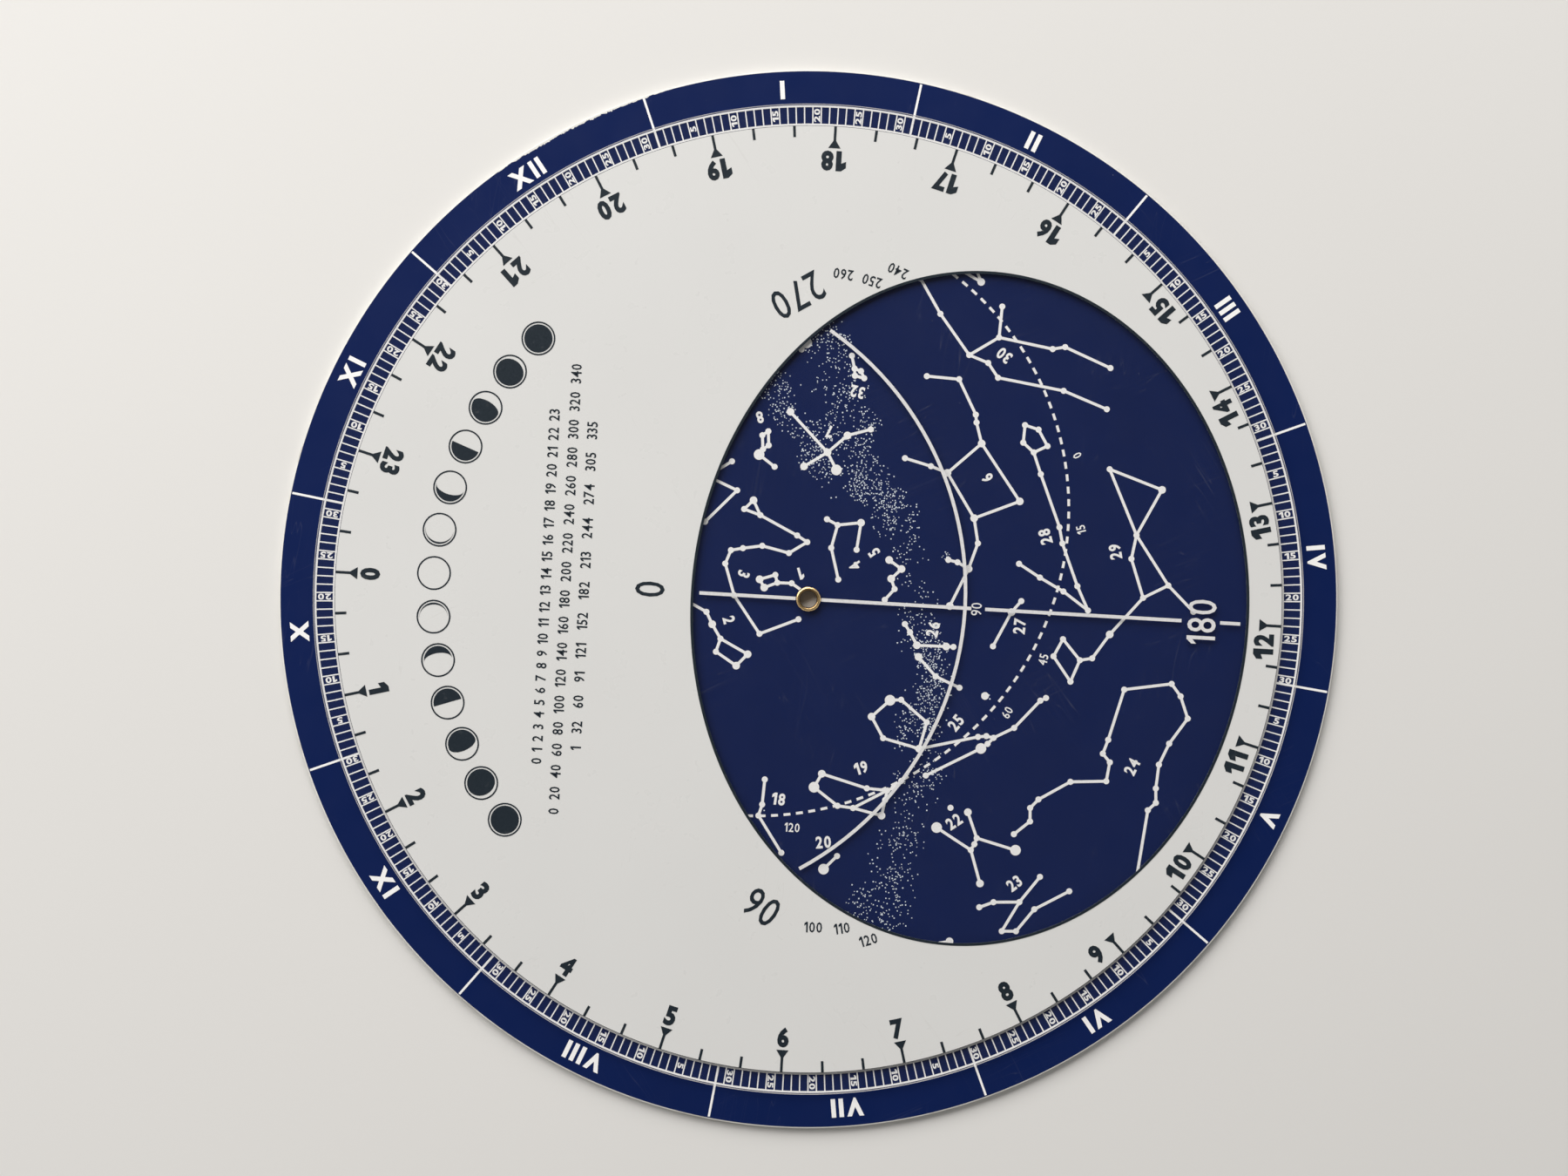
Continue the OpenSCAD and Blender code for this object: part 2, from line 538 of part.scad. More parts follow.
// Half of a rolled rim: the brass turns over and its edge comes down on the sheet
module curl() {
  difference() {
    translate([curl_centre_r, 0]) circle(r = curl_out_r);
    translate([curl_centre_r, 0]) circle(r = curl_r);
    translate([0, -2 * curl_out_r]) square([2 * flange_r, 2 * curl_out_r]);
  }
}

// The tubular brass eyelet, rolled over above the overlay and below the disc
module eyelet() {
  color("goldenrod") rotate_extrude() {
    translate([bore_r, disc_z]) square([brass_t, upper_curl_z - disc_z]);
    translate([0, upper_curl_z]) curl();
    translate([0, disc_z]) mirror([0, 1]) curl();
  }
}

star_disc();
navy_print();
date_scale();
month_lines();
star_chart();
overlay_sheet();
horizon_mask();
window_border();
hour_scale();
sight_lines();
eyelet();
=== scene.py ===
"""Planisphere: the printed sheets, inks, numbers, eyelet and stage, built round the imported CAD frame.

Lengths are metres. Directions on the dial are clockwise from +Y, as a person reads a dial.
"""

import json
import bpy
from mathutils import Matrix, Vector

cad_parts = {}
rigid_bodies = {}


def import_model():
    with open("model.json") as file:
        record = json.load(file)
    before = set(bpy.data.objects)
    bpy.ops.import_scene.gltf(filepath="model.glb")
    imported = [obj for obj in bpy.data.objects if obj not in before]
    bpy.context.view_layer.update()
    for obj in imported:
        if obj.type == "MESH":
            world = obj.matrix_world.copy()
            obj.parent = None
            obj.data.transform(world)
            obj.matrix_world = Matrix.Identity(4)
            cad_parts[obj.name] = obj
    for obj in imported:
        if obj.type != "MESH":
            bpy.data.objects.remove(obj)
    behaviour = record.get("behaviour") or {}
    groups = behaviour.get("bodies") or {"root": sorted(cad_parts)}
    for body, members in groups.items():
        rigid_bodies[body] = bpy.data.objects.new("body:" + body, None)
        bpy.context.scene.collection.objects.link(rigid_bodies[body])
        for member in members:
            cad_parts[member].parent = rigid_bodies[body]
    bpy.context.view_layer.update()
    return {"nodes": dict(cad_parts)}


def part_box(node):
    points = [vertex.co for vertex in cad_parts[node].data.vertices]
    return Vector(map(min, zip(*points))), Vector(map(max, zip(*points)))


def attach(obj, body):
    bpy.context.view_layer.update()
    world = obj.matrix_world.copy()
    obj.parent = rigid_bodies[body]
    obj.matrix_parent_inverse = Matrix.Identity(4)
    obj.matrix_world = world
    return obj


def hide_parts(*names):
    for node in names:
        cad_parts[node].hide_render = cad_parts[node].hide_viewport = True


bl_info = {
    "name": "Planisphere",
    "version": (1, 0, 0),
    "blender": (4, 5, 0),
    "location": "3D View > Sidebar > Planisphere",
    "description": "Builds a planisphere's sheets, printed marks and rolled eyelet round its CAD frame",
    "category": "Add Mesh",
}

from functools import cache
from math import asin, atan2, cos, degrees, pi, radians, sin, sqrt, tan

import bmesh
import bpy
from bpy.props import FloatProperty, FloatVectorProperty, IntProperty, PointerProperty
from mathutils import Matrix, Vector

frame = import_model()

MM = 0.001
DISC_BODY = "star_wheel"
OVERLAY_BODY = "overlay"

# The CAD marks that stay: their body, ink and material slot, which the numbers beside them share
MARKS = {"month_lines": (DISC_BODY, "white_ink", "white_ink"),
         "star_chart": (DISC_BODY, "white_ink", "white_ink"),
         "hour_scale": (OVERLAY_BODY, "slate_ink", "slate_ink"),
         "sight_lines": (OVERLAY_BODY, "sight_ink", "mask_ink")}

MONTH_LENGTHS = (31, 28, 31, 30, 31, 30, 31, 31, 30, 31, 30, 31)
DAYS = sum(MONTH_LENGTHS)
MONTH_STARTS = [sum(MONTH_LENGTHS[:m]) for m in range(12)]
MONTH_NUMERALS = ("I", "II", "III", "IV", "V", "VI", "VII", "VIII", "IX", "X", "XI", "XII")
HOURS = 24
DAY_STEP = 2 * pi / DAYS
HOUR_STEP = 2 * pi / HOURS
GLYPHS = "0123456789IVX"
KEPT_LAYERS = ("material_index", "sharp_face", "sharp_edge", ".edge_verts", ".corner_vert", ".corner_edge")

# The galaxy's main band and its second arm: longitude, lower edge and upper edge in degrees, fullness
MAIN_ARM = (
    (0, -9, 9, 0.7), (20, -12, 1, 0.7), (40, -17, -4, 0.6), (50, -18, -8, 0.4), (55, -16, -9, 0.35),
    (60, -15, -6, 0.9), (65, -15, -7, 0.45), (70, -13, 0, 0.8), (75, -15, -1, 0.75), (80, -11, 0, 0.5),
    (85, -10, 0, 0.65), (90, -11, 2, 0.85), (95, -12, 1, 0.8), (100, -15, -3, 0.8), (105, -16, -4, 1),
    (110, -15, -4, 0.95), (115, -14, -5, 0.6), (120, -14, -5, 0.35), (125, -13, -4, 0.35),
    (130, -13, -6, 0.45), (135, -15, -2, 0.65), (140, -12, -2, 0.4), (145, -14, 0, 0.8),
    (150, -13, -3, 0.8), (155, -13, -7, 0.9), (160, -13, -2, 0.7), (165, -12, 1, 0.8),
    (170, -10, 1.5, 0.7), (175, -9, 2, 0.75), (180, -9, 0.5, 0.45), (185, -10, 2, 0.65),
    (190, -8, 0, 0.3), (195, -7, 1, 0.25), (200, -5, 2.5, 0.5), (205, -4, 3, 0.6), (210, -5, 3, 0.4),
    (240, -8, 8, 0.5), (300, -9, 9, 0.7), (360, -9, 9, 0.7))
SECOND_ARM = (
    (15, 2, 8, 0.8), (50, 1, 8, 0.8), (60, 1, 9, 0.8), (70, 2, 7, 0.6), (75, 1, 9, 0.8), (80, -1, 10, 0.75),
    (85, -1, 7, 0.5), (92, 2, 6, 0.3))
BAND_REACH = 20
BAND_STEPS = 180
PATCHES_PER_METRE = 230.0

# Small clusters of stars: right ascension in hours, declination in degrees, radius in millimetres
CLUSTERS = ((0.71, 41.3, 1.0), (8.67, 19.7, 0.9), (3.79, 24.1, 1.2))
CLUSTER_FULLNESS = 0.45

# Where each figure's number stands: right ascension in hours, declination in degrees
FIGURE_PLACES = (
    (18.81, 80.7), (12.90, 61.8), (15.28, 66.1), (23.53, 70.1), (23.52, 62.3), (23.60, 19.9),
    (20.34, 33.8), (18.88, 28.0), (17.38, 31.9), (14.17, 29.3), (15.90, 34.4), (12.56, 36.5),
    (10.57, 24.7), (13.46, 4.9), (12.38, -20.2), (11.45, -22.1), (10.68, -5.7), (8.44, 23.9),
    (6.72, 31.4), (7.64, 12.3), (6.87, -24.8), (5.66, 6.4), (5.48, -13.9), (3.70, -16.8),
    (4.54, 26.7), (2.78, 46.6), (2.36, 20.8), (0.89, 11.9), (1.29, -4.7), (22.46, -5.2),
    (21.04, -20.3), (20.76, 20.8), (19.75, 2.0), (16.91, -0.8), (15.92, 10.1), (15.22, -14.7),
    (16.32, -28.0), (18.55, -28.8), (22.64, -33.9))

# Longitudes on the ecliptic where a number stands clear of the figures, in degrees, the numbers' distance
# from it, and their height as a share of a table's
LONGITUDES = (0, 15, 45, 60, 120, 135, 150, 165, 180, 195, 210, 255, 270, 300)
LONGITUDE_GAP = 2.6 * MM
LONGITUDE_SHARE = 0.85

# Numbers on the overlay: the text, its place in millimetres and, for the small ones, its top's direction.
# The southern one is a share of the other azimuths' height.
AZIMUTHS = (("0", -29.9, 1.9), ("270", -2.0, 57.3), ("90", -8.8, -58.1))
FINE_AZIMUTHS = (("260", 6.6, 61.3, 190), ("250", 12.0, 60.0, 198), ("240", 16.9, 61.9, 206),
                 ("100", 0.9, -61.9, 2), ("110", 6.3, -62.1, -8), ("120", 11.3, -64.3, -16))
SOUTH_PLACE = (74.2, -4.3)
SOUTH_SHARE = 0.96
ZENITH_PLACE = (31.7, -1.9)

# Three rows of small numbers: the numbers, the row's middle and its span in millimetres
TABLE_UP = radians(-87)
TABLE_ROWS = ((range(HOURS), -49.6, 2.4, 67), (range(0, 360, 20), -45.9, 1.9, 85),
              ([start + 1 for start in MONTH_STARTS], -42.3, 2.5, 62))

# Hours whose numbers stand beside the window's southern end, and their step aside from their pointers
SOUTHERN_HOURS = range(9, 16)
STEP_ASIDE = radians(2.64)

# The glyphs' weights: how far a stroke's edges move out in a glyph of about one unit, and steps of a curve
WEIGHTS = {"bold": (0.052, 3), "heavy": (0.034, 3), "light": (0.004, 3), "small": (0.012, 2)}

# How wide the glyphs are drawn, gaps between them as shares of their height, and two gaps that are lengths
STRETCH = 0.85
MONTH_STRETCH = 0.95
DAY_STRETCH = 1.5
HOUR_STRETCH = 0.9
AZIMUTH_STRETCH = 0.8
GLYPH_GAP = 0.13
ROW_GAP = 0.12
MONTH_GAP = 0.62 * MM
DAY_GAP = 0.2 * MM

# Steps of a rounded corner, a rolled rim's curl, and once round the eyelet, the floor and a moon
CORNER_STEPS = 4
CURL_STEPS = 10
EYELET_STEPS = 252
FLOOR_STEPS = 96
MOON_STEPS = 48

# Part of the rolled rim's curl at which its splits begin, and the thinnest moon's edge that is printed dark
SPLIT_START = 0.45
LEAST_DARK = 0.03

# Flat strip before a sheet's rounded rim, in radii of the rounding, and a glyph's share of its film's depth
RIM_STRIP = 2.5
GLYPH_DEPTH = 0.9

# Strip inside the sky's edge that stays clear of dust, and limits for merging points and for sharp edges
EDGE_MARGIN = 0.01 * MM
MERGE_DISTANCE = 0.0002 * MM
SHARP_ANGLE = radians(30)

# Colours of wear
GRIME = (0.42, 0.38, 0.31)
WORN_NAVY = (0.25, 0.27, 0.34)
PALE_DUST = (0.4, 0.4, 0.42)
PINHOLE = (0.2, 0.22, 0.3)
WORN_MASK = (0.36, 0.34, 0.31)
DARK_HAIR = (0.10, 0.08, 0.07)

# The lamp side of the disc's edge, lit by a painted highlight, as its shares of the way up and to the left
LAMP_SIDE_UP = 0.899
LAMP_SIDE_LEFT = 0.438


def foot(node):
    """Height of a CAD node's underside."""
    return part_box(node)[0].z


def head(node):
    """Height of a CAD node's top."""
    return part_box(node)[1].z


def reach(node):
    """Outer radius of a round CAD node."""
    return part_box(node)[1].x


def number(name, description, value, **more):
    return FloatProperty(name=name, description=description, default=value, **more)


def length(name, description, millimetres):
    return number(name, description, millimetres * MM, min=0, unit="LENGTH", precision=5)


def turn(name, description, angle):
    return number(name, description, radians(angle), unit="ROTATION")


def share(name, description, value):
    return number(name, description, value, min=0, soft_max=1)


def tint(name, description, rgb):
    return FloatVectorProperty(name=name, description=description, default=rgb, size=3, min=0, max=1,
                               subtype="COLOR")


class SheetSizes(bpy.types.PropertyGroup):
    edge_round: length("Edge round", "Radius of the rounding on the plastic sheets' rims", 0.14)
    overlay_round: length("Overlay round", "Radius of the rounding on the overlay's rim", 0.1)
    disc_hole_r: length("Disc hole", "Radius of the hole in the star disc", 1.87)
    overlay_hole_r: length("Overlay hole", "Radius of the hole in the overlay", 1.9)
    segments: IntProperty(name="Segments", description="Steps round a sheet", default=720, min=48)


class ScaleSizes(bpy.types.PropertyGroup):
    ring_w: length("Ring width", "Width of the two rings of the date scale", 0.35)
    day_band_w: length("Day band", "Width of the band for the days, between the rings", 3.1)
    day_line_w: length("Day line", "Width of a line between two days", 0.24)
    month_line_w: length("Month line", "Width of a line between two months", 0.42)
    january_turn: turn("First of January", "Direction of the first of January at rest", 341.8)
    noon_turn: turn("Noon", "Direction of noon on the hour scale at rest", 93.3)


class WindowSizes(bpy.types.PropertyGroup):
    half_h: length("Half height", "Half of the window along the meridian", 52.7)
    half_w: length("Half width", "Half of the window from east to west", 63.7)
    shift: length("Shift", "Distance of the window's middle from the pole", 30.5)
    border_w: length("Border", "Width of the dark line round the window", 0.5)


class ChartSizes(bpy.types.PropertyGroup):
    equator_r: length("Equator", "Radius of the celestial equator on the chart", 55)
    rate: share("Rate", "Turn of the projection line for each degree of polar distance", 0.362)
    equinox_day: number("Equinox", "Day of the year at right ascension zero", 81.2)
    obliquity: turn("Obliquity", "Tilt of the ecliptic to the equator", 23.44)
    edge_r: length("Edge", "Radius at which the printed sky ends", 88.4)


class StarDustSizes(bpy.types.PropertyGroup):
    spacing: length("Spacing", "Least distance between two dots", 0.2)
    crowd: number("Crowd", "Most dots for each square millimetre", 8.0)
    edge: number("Edge", "Degrees in which the band's edges fade", 2.4)
    dot_low_r: length("Least dot", "Radius of the smallest dot", 0.09)
    dot_high_r: length("Largest dot", "Radius of the largest dot", 0.165)
    seed: IntProperty(name="Seed", description="Seed of the scatter", default=7)


class NumberSizes(bpy.types.PropertyGroup):
    month_h: length("Month", "Height of the months' numerals", 3.5)
    month_r: length("Month radius", "Radius of the months' numerals", 96.3)
    day_h: length("Day", "Height of the days' numbers", 1.16)
    hour_h: length("Hour", "Height of the hours' numbers", 3.8)
    hour_r: length("Hour radius", "Radius of the hours' numbers", 82.8)
    hour_south_r: length("Southern radius", "Radius of the hours' numbers beside the window", 86.3)
    figure_h: length("Figure", "Height of the star figures' index numbers", 2.3)
    azimuth_h: length("Azimuth", "Height of the four main azimuths", 5.6)
    table_h: length("Table", "Height of the rows of small numbers", 2.0)


class MoonSizes(bpy.types.PropertyGroup):
    row_r: length("Row radius", "Radius of the row of moons", 70.8)
    first_turn: turn("First moon", "Direction of the first moon", 234.0)
    last_turn: turn("Last moon", "Direction of the last moon", 314.0)
    moon_r: length("Moon", "Radius of a moon", 3.2)
    rim_w: length("Rim", "Width of the thin line round a moon", 0.28)
    rim_gap: length("Gap", "Gap between that line and the moon's dark part", 0.25)
    moons: IntProperty(name="Moons", description="Number of moons in the row", default=13, min=3)


class EyeletSizes(bpy.types.PropertyGroup):
    bore_r: length("Bore", "Radius of the hole through the eyelet", 1.6)
    brass_t: length("Brass", "Thickness of the brass", 0.25)
    curl_r: length("Curl", "Inner radius of the rolled rims", 0.12)
    splits: IntProperty(name="Splits", description="Splits round the rolled rim", default=7, min=0)
    split_w: turn("Split width", "Angle that a split covers", 4.0)
    split_depth: length("Split depth", "How far a split cuts into the rim", 0.08)


class InkColours(bpy.types.PropertyGroup):
    plastic: tint("White plastic", "Colour of the star disc", (0.80, 0.79, 0.75))
    navy: tint("Navy", "Colour of the night sky's ink", (0.0022, 0.012, 0.08))
    white: tint("White", "Colour of the stars' ink", (0.97, 0.965, 0.96))
    dust: tint("Star dust", "Colour of the fine dots", (0.78, 0.85, 0.93))
    mask: tint("Mask", "Colour of the overlay's mask", (0.75, 0.75, 0.737))
    slate: tint("Slate", "Colour of the marks on the mask", (0.009, 0.017, 0.026))
    sight: tint("Sight", "Colour of the sight lines", (0.74, 0.735, 0.74))
    haze: tint("Haze", "Colour of dust and scratches on the clear overlay", (0.82, 0.80, 0.78))
    brass: tint("Brass", "Colour of the eyelet", (0.98, 0.70, 0.34))
    # Painted shade: this colour also darkens the eyelet's bore, besides colouring its real stains
    tarnish: tint("Tarnish", "Colour of the eyelet's stained hollows", (0.075, 0.035, 0.013))


class StageSizes(bpy.types.PropertyGroup):
    camera_x: number("Camera X", "Camera's place from left to right", -4.6 * MM, unit="LENGTH")
    camera_y: number("Camera Y", "Camera's place from bottom to top", 2.1 * MM, unit="LENGTH")
    camera_z: length("Camera height", "Height of the camera over the disc's print", 576)
    lens: number("Lens", "Focal length in millimetres", 70)
    lamp_turn: turn("Lamp direction", "Direction that the main light comes from", 335)
    lamp_rise: turn("Lamp rise", "Height of the main light over the horizon", 35)
    lamp_far: length("Lamp distance", "Distance of the main light", 1200)
    lamp_wide: length("Lamp width", "Width of the main light", 2000)
    lamp_tall: length("Lamp height", "Height of the main light", 900)
    lamp_power: number("Lamp power", "Power of the main light", 26, unit="POWER")
    lamp: tint("Lamp colour", "Colour of the main light", (1.0, 0.98, 0.955))
    sky_low: share("Horizon", "Brightness of the surroundings at the horizon", 0.75)
    sky_high: share("Zenith", "Brightness of the surroundings overhead", 0.09)
    room: tint("Room", "Colour of the surroundings", (1.0, 0.985, 0.965))
    floor: tint("Floor", "Colour of the floor", (0.78, 0.77, 0.75))
    floor_r: length("Floor radius", "Radius of the floor", 8000)


GROUPS = {
    "sheets": SheetSizes, "scale": ScaleSizes, "window": WindowSizes, "chart": ChartSizes,
    "dust": StarDustSizes, "numbers": NumberSizes, "moons": MoonSizes, "eyelet": EyeletSizes,
    "inks": InkColours, "stage": StageSizes}


def sizes_of(group):
    """One group of the scene's sizes or colours."""
    return getattr(bpy.context.scene, "planisphere_" + group)


def ink(name):
    return tuple(getattr(sizes_of("inks"), name))


def arithmetic(operation, swapped=False):
    """A method that adds one Math node, for an operator of Socket."""
    def method(self, other):
        return self.maker.math(operation, *((other, self) if swapped else (self, other)))
    return method


class Socket:
    """One output in a node tree. Sums, products and powers of sockets add Math nodes."""

    def __init__(self, maker, socket):
        self.maker = maker
        self.socket = socket

    def math(self, operation, *others):
        return self.maker.math(operation, self, *others)

    def output(self, name):
        return Socket(self.maker, self.socket.node.outputs[name])

    __add__ = __radd__ = arithmetic("ADD")
    __sub__ = arithmetic("SUBTRACT")
    __rsub__ = arithmetic("SUBTRACT", swapped=True)
    __mul__ = __rmul__ = arithmetic("MULTIPLY")
    __truediv__ = arithmetic("DIVIDE")
    __rtruediv__ = arithmetic("DIVIDE", swapped=True)
    __pow__ = arithmetic("POWER")


class Maker:
    """Adds nodes to a tree, with their settings first and then the values or links of their sockets."""

    def __init__(self, tree):
        self.tree = tree
        tree.nodes.clear()

    def add(self, kind, settings=None, inputs=None, output=0):
        node = self.tree.nodes.new(kind)
        for name, value in (settings or {}).items():
            setattr(node, name, value)
        for name, value in (inputs or {}).items():
            if isinstance(value, Socket):
                self.tree.links.new(value.socket, node.inputs[name])
            else:
                opaque = node.inputs[name].type == "RGBA"
                node.inputs[name].default_value = (*value, 1) if opaque else value
        return Socket(self, node.outputs[output]) if node.outputs else None

    def math(self, operation, *values):
        return self.add("ShaderNodeMath", {"operation": operation}, dict(enumerate(values)))

    def step(self, value, low, high, start=0.0, end=1.0):
        """From start below low to end above high, smooth between."""
        return self.add("ShaderNodeMapRange", {"interpolation_type": "SMOOTHSTEP"}, {
            "Value": value, "From Min": low, "From Max": high, "To Min": start, "To Max": end})


class Surface(Maker):
    """A procedural material, whose patterns read Object coordinates in millimetres."""

    def __init__(self, name):
        self.material = bpy.data.materials.new(name)
        self.material.use_nodes = True
        super().__init__(self.material.node_tree)
        place = self.add("ShaderNodeTexCoord", output="Object")
        self.place = self.shade(place, 1 / MM)
        self.x = self.add("ShaderNodeSeparateXYZ", inputs={0: self.place})
        self.y = self.x.output("Y")
        self.radius = (self.x * self.x + self.y * self.y) ** 0.5

    def shade(self, vector, factor):
        """A colour made lighter or darker, or a place at another scale."""
        return self.add("ShaderNodeVectorMath", {"operation": "SCALE"}, {0: vector, "Scale": factor})

    def mix(self, factor, first, second):
        return self.add("ShaderNodeMix", {"data_type": "RGBA"}, {0: factor, 6: first, 7: second}, 2)

    def cloud(self, size, detail=3.0, roughness=0.5, place=None):
        """Noise from 0 to 1 whose patches are about size millimetres across."""
        return self.add("ShaderNodeTexNoise", inputs={
            "Vector": place or self.place, "Scale": 1 / size, "Detail": detail, "Roughness": roughness})

    def stretched(self, along, across, angle):
        """Coordinates whose patterns are drawn out in one direction."""
        return self.add("ShaderNodeMapping", {"vector_type": "TEXTURE"}, {
            "Vector": self.place, "Rotation": (0, 0, radians(angle)), "Scale": (along, across, along)})

    def scratches(self, width=0.006):
        """Fine broken scratches in three directions."""
        runs = []
        for angle, along, across in ((24, 34, 1.6), (-58, 42, 2.1), (81, 26, 1.9)):
            drawn = self.cloud(1, 1.0, 0.4, self.stretched(along, across, angle))
            line = 1 - self.step((drawn - 0.5).math("ABSOLUTE"), 0, width)
            patch = self.cloud(along * 0.7, 1.0, 0.5, self.stretched(1, 1, angle + 40))
            runs.append(line * self.step(patch, 0.56, 0.66))
        return runs[0].math("MAXIMUM", runs[1].math("MAXIMUM", runs[2]))

    def specks(self, cell, low, high, rare):
        """Small spots, one in a few of the cells of a loose grid."""
        cells = self.add("ShaderNodeTexVoronoi", inputs={"Vector": self.place, "Scale": 1 / cell})
        chosen = self.add("ShaderNodeSeparateColor", inputs={0: cells.output("Color")})
        return (1 - self.step(cells, low / cell, high / cell)) * self.step(chosen, rare, rare + 0.01)

    def film(self, colour, roughness, relief, depth, shine=0.5, metallic=0.0):
        """The main shader, with relief of a depth in millimetres."""
        bump = self.add("ShaderNodeBump", inputs={
            "Strength": 1.0, "Distance": depth * MM, "Height": relief})
        return self.add("ShaderNodeBsdfPrincipled", inputs={
            "Base Color": colour, "Roughness": roughness, "Metallic": metallic, "Specular IOR Level": shine,
            "Normal": bump})


class Recipe(Maker):
    """A Geometry Nodes tree with named inputs, and one mesh out."""

    def __init__(self, name, **inputs):
        tree = bpy.data.node_groups.new(name, "GeometryNodeTree")
        super().__init__(tree)
        tree.interface.new_socket("Geometry", in_out="OUTPUT", socket_type="NodeSocketGeometry")
        self.names = {}
        for key, kind in {"geometry": "Geometry", **inputs, "finish": "Material"}.items():
            item = tree.interface.new_socket(key.replace("_", " ").capitalize(), in_out="INPUT",
                                             socket_type="NodeSocket" + kind)
            self.names[key] = item.identifier
        given = self.add("NodeGroupInput").socket.node.outputs
        self.given = {key: Socket(self, socket) for key, socket in zip(self.names, given)}

    def attribute(self, name, kind="FLOAT"):
        return self.add("GeometryNodeInputNamedAttribute", {"data_type": kind}, {"Name": name})

    def vector(self, x, y, z):
        return self.add("ShaderNodeCombineXYZ", inputs={0: x, 1: y, 2: z})

    def stamp(self, instance, **more):
        """Ends the tree with an instance on every point, in the point's turn and size."""
        turned = self.add("FunctionNodeEulerToRotation", inputs={
            0: self.vector(0, 0, self.attribute("turn"))})
        return self.close(self.add("GeometryNodeInstanceOnPoints", inputs={
            "Points": self.given["geometry"], "Instance": instance, "Rotation": turned,
            "Scale": self.attribute("size", "FLOAT_VECTOR"), **more}))

    def close(self, geometry):
        """Ends the tree: real meshes in the given material."""
        real = self.add("GeometryNodeRealizeInstances", inputs={"Geometry": geometry})
        done = self.add("GeometryNodeSetMaterial", inputs={
            "Geometry": real, "Material": self.given["finish"]})
        self.add("NodeGroupOutput", inputs={0: done})
        return self

    def run(self, name, mesh, finish, **values):
        """The tree's result on a mesh, as an object with a plain mesh and no modifier."""
        made = link(name, mesh)
        modifier = made.modifiers.new("recipe", "NODES")
        modifier.node_group = self.tree
        for key, value in {**values, "finish": finish_of(finish)}.items():
            modifier[self.names[key]] = value
        made.data = final_mesh(made)
        made.data.name = name
        made.modifiers.remove(modifier)
        layers = made.data.attributes
        for key in [a.name for a in layers if not a.is_required and a.name not in KEPT_LAYERS]:
            layers.remove(layers[key])
        return close_shell(made)


def link(name, data):
    """A new object of the scene."""
    made = bpy.data.objects.new(name, data)
    bpy.context.scene.collection.objects.link(made)
    return made


def final_mesh(thing):
    """An object's mesh after its modifiers, or a text's mesh."""
    graph = bpy.context.evaluated_depsgraph_get()
    return bpy.data.meshes.new_from_object(thing.evaluated_get(graph))


def at(radius, direction, height=0.0):
    """The point at a radius and a direction on the dial."""
    return Vector((radius * sin(direction), radius * cos(direction), height))


def spot(x, y):
    """The point at a place in millimetres on the dial."""
    return Vector((x * MM, y * MM, 0))


def close_shell(made):
    """Merges doubles, turns the faces outwards and keeps only real edges sharp."""
    shell = bmesh.new()
    shell.from_mesh(made.data)
    bmesh.ops.remove_doubles(shell, verts=shell.verts, dist=MERGE_DISTANCE)
    bmesh.ops.recalc_face_normals(shell, faces=shell.faces)
    shell.to_mesh(made.data)
    shell.free()
    made.data.shade_smooth()
    made.data.set_sharp_from_angle(angle=SHARP_ANGLE)
    return made


def settle(made, body, slot, *replaced):
    """Puts a finished piece on its body and in the place of a CAD node. The slot is not used."""
    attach(made, body)
    if replaced:
        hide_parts(*replaced)


def marked_mesh(name, points, faces=(), **layers):
    """A mesh of points and faces, with a value of each layer for every point."""
    mesh = bpy.data.meshes.new(name)
    mesh.from_pydata(points, [], faces)
    kinds = {int: ("INT", "value"), float: ("FLOAT", "value"), Vector: ("FLOAT_VECTOR", "vector")}
    for key, values in layers.items():
        kind, slot = kinds[type(values[0])]
        flat = [c for v in values for c in v] if kind == "FLOAT_VECTOR" else values
        mesh.attributes.new(key, kind, "POINT").data.foreach_set(slot, flat)
    return mesh


# Turned rings: a profile of radius and height, swept round the axis

@cache
def turned_recipe():
    """Sweeps a profile round the Z axis, and cuts splits where the profile's give is above 0."""
    recipe = Recipe("Turned ring", steps="Int", splits="Int", split_width="Float", split_depth="Float",
                    profile_points="Int")
    steps, count = recipe.given["steps"], recipe.given["profile_points"]
    grid = recipe.add("GeometryNodeMeshGrid", inputs={"Vertices X": steps + 1, "Vertices Y": count})
    index = recipe.add("GeometryNodeInputIndex")
    round_step = ((index + 0.5) / count).math("FLOOR")
    along = index - round_step * count
    source = {"Geometry": recipe.given["geometry"], "Index": along}
    profile = recipe.add("GeometryNodeSampleIndex", {"data_type": "FLOAT_VECTOR"},
                         {**source, "Value": recipe.add("GeometryNodeInputPosition")})
    give = recipe.add("GeometryNodeSampleIndex", {"data_type": "FLOAT"},
                      {**source, "Value": recipe.attribute("give")})
    parts = recipe.add("ShaderNodeSeparateXYZ", inputs={0: profile})
    angle = round_step * (2 * pi) / steps
    pitch = 2 * pi / recipe.given["splits"]
    off = (angle / pitch).math("FRACT") - 0.5
    near = (off * pitch / recipe.given["split_width"]) ** 2
    cut = (near * -1).math("EXPONENT") * give * recipe.given["split_depth"]
    radius = parts - cut
    place = recipe.vector(radius * angle.math("COSINE"), radius * angle.math("SINE"), parts.output("Z"))
    swept = recipe.add("GeometryNodeSetPosition", inputs={"Geometry": grid, "Position": place})
    return recipe.close(swept)


def turned_ring(name, profile, finish, steps, give=None, splits=1, split_width=1.0, split_depth=0.0):
    """A closed ring from a closed profile, a list of radius and height."""
    points = [(r, 0, z) for r, z in profile + profile[:1]]
    weights = give or [0.0] * len(profile)
    mesh = marked_mesh(name, points, give=weights + weights[:1])
    return turned_recipe().run(name, mesh, finish, steps=steps, profile_points=len(points), splits=splits,
                               split_width=split_width, split_depth=split_depth)


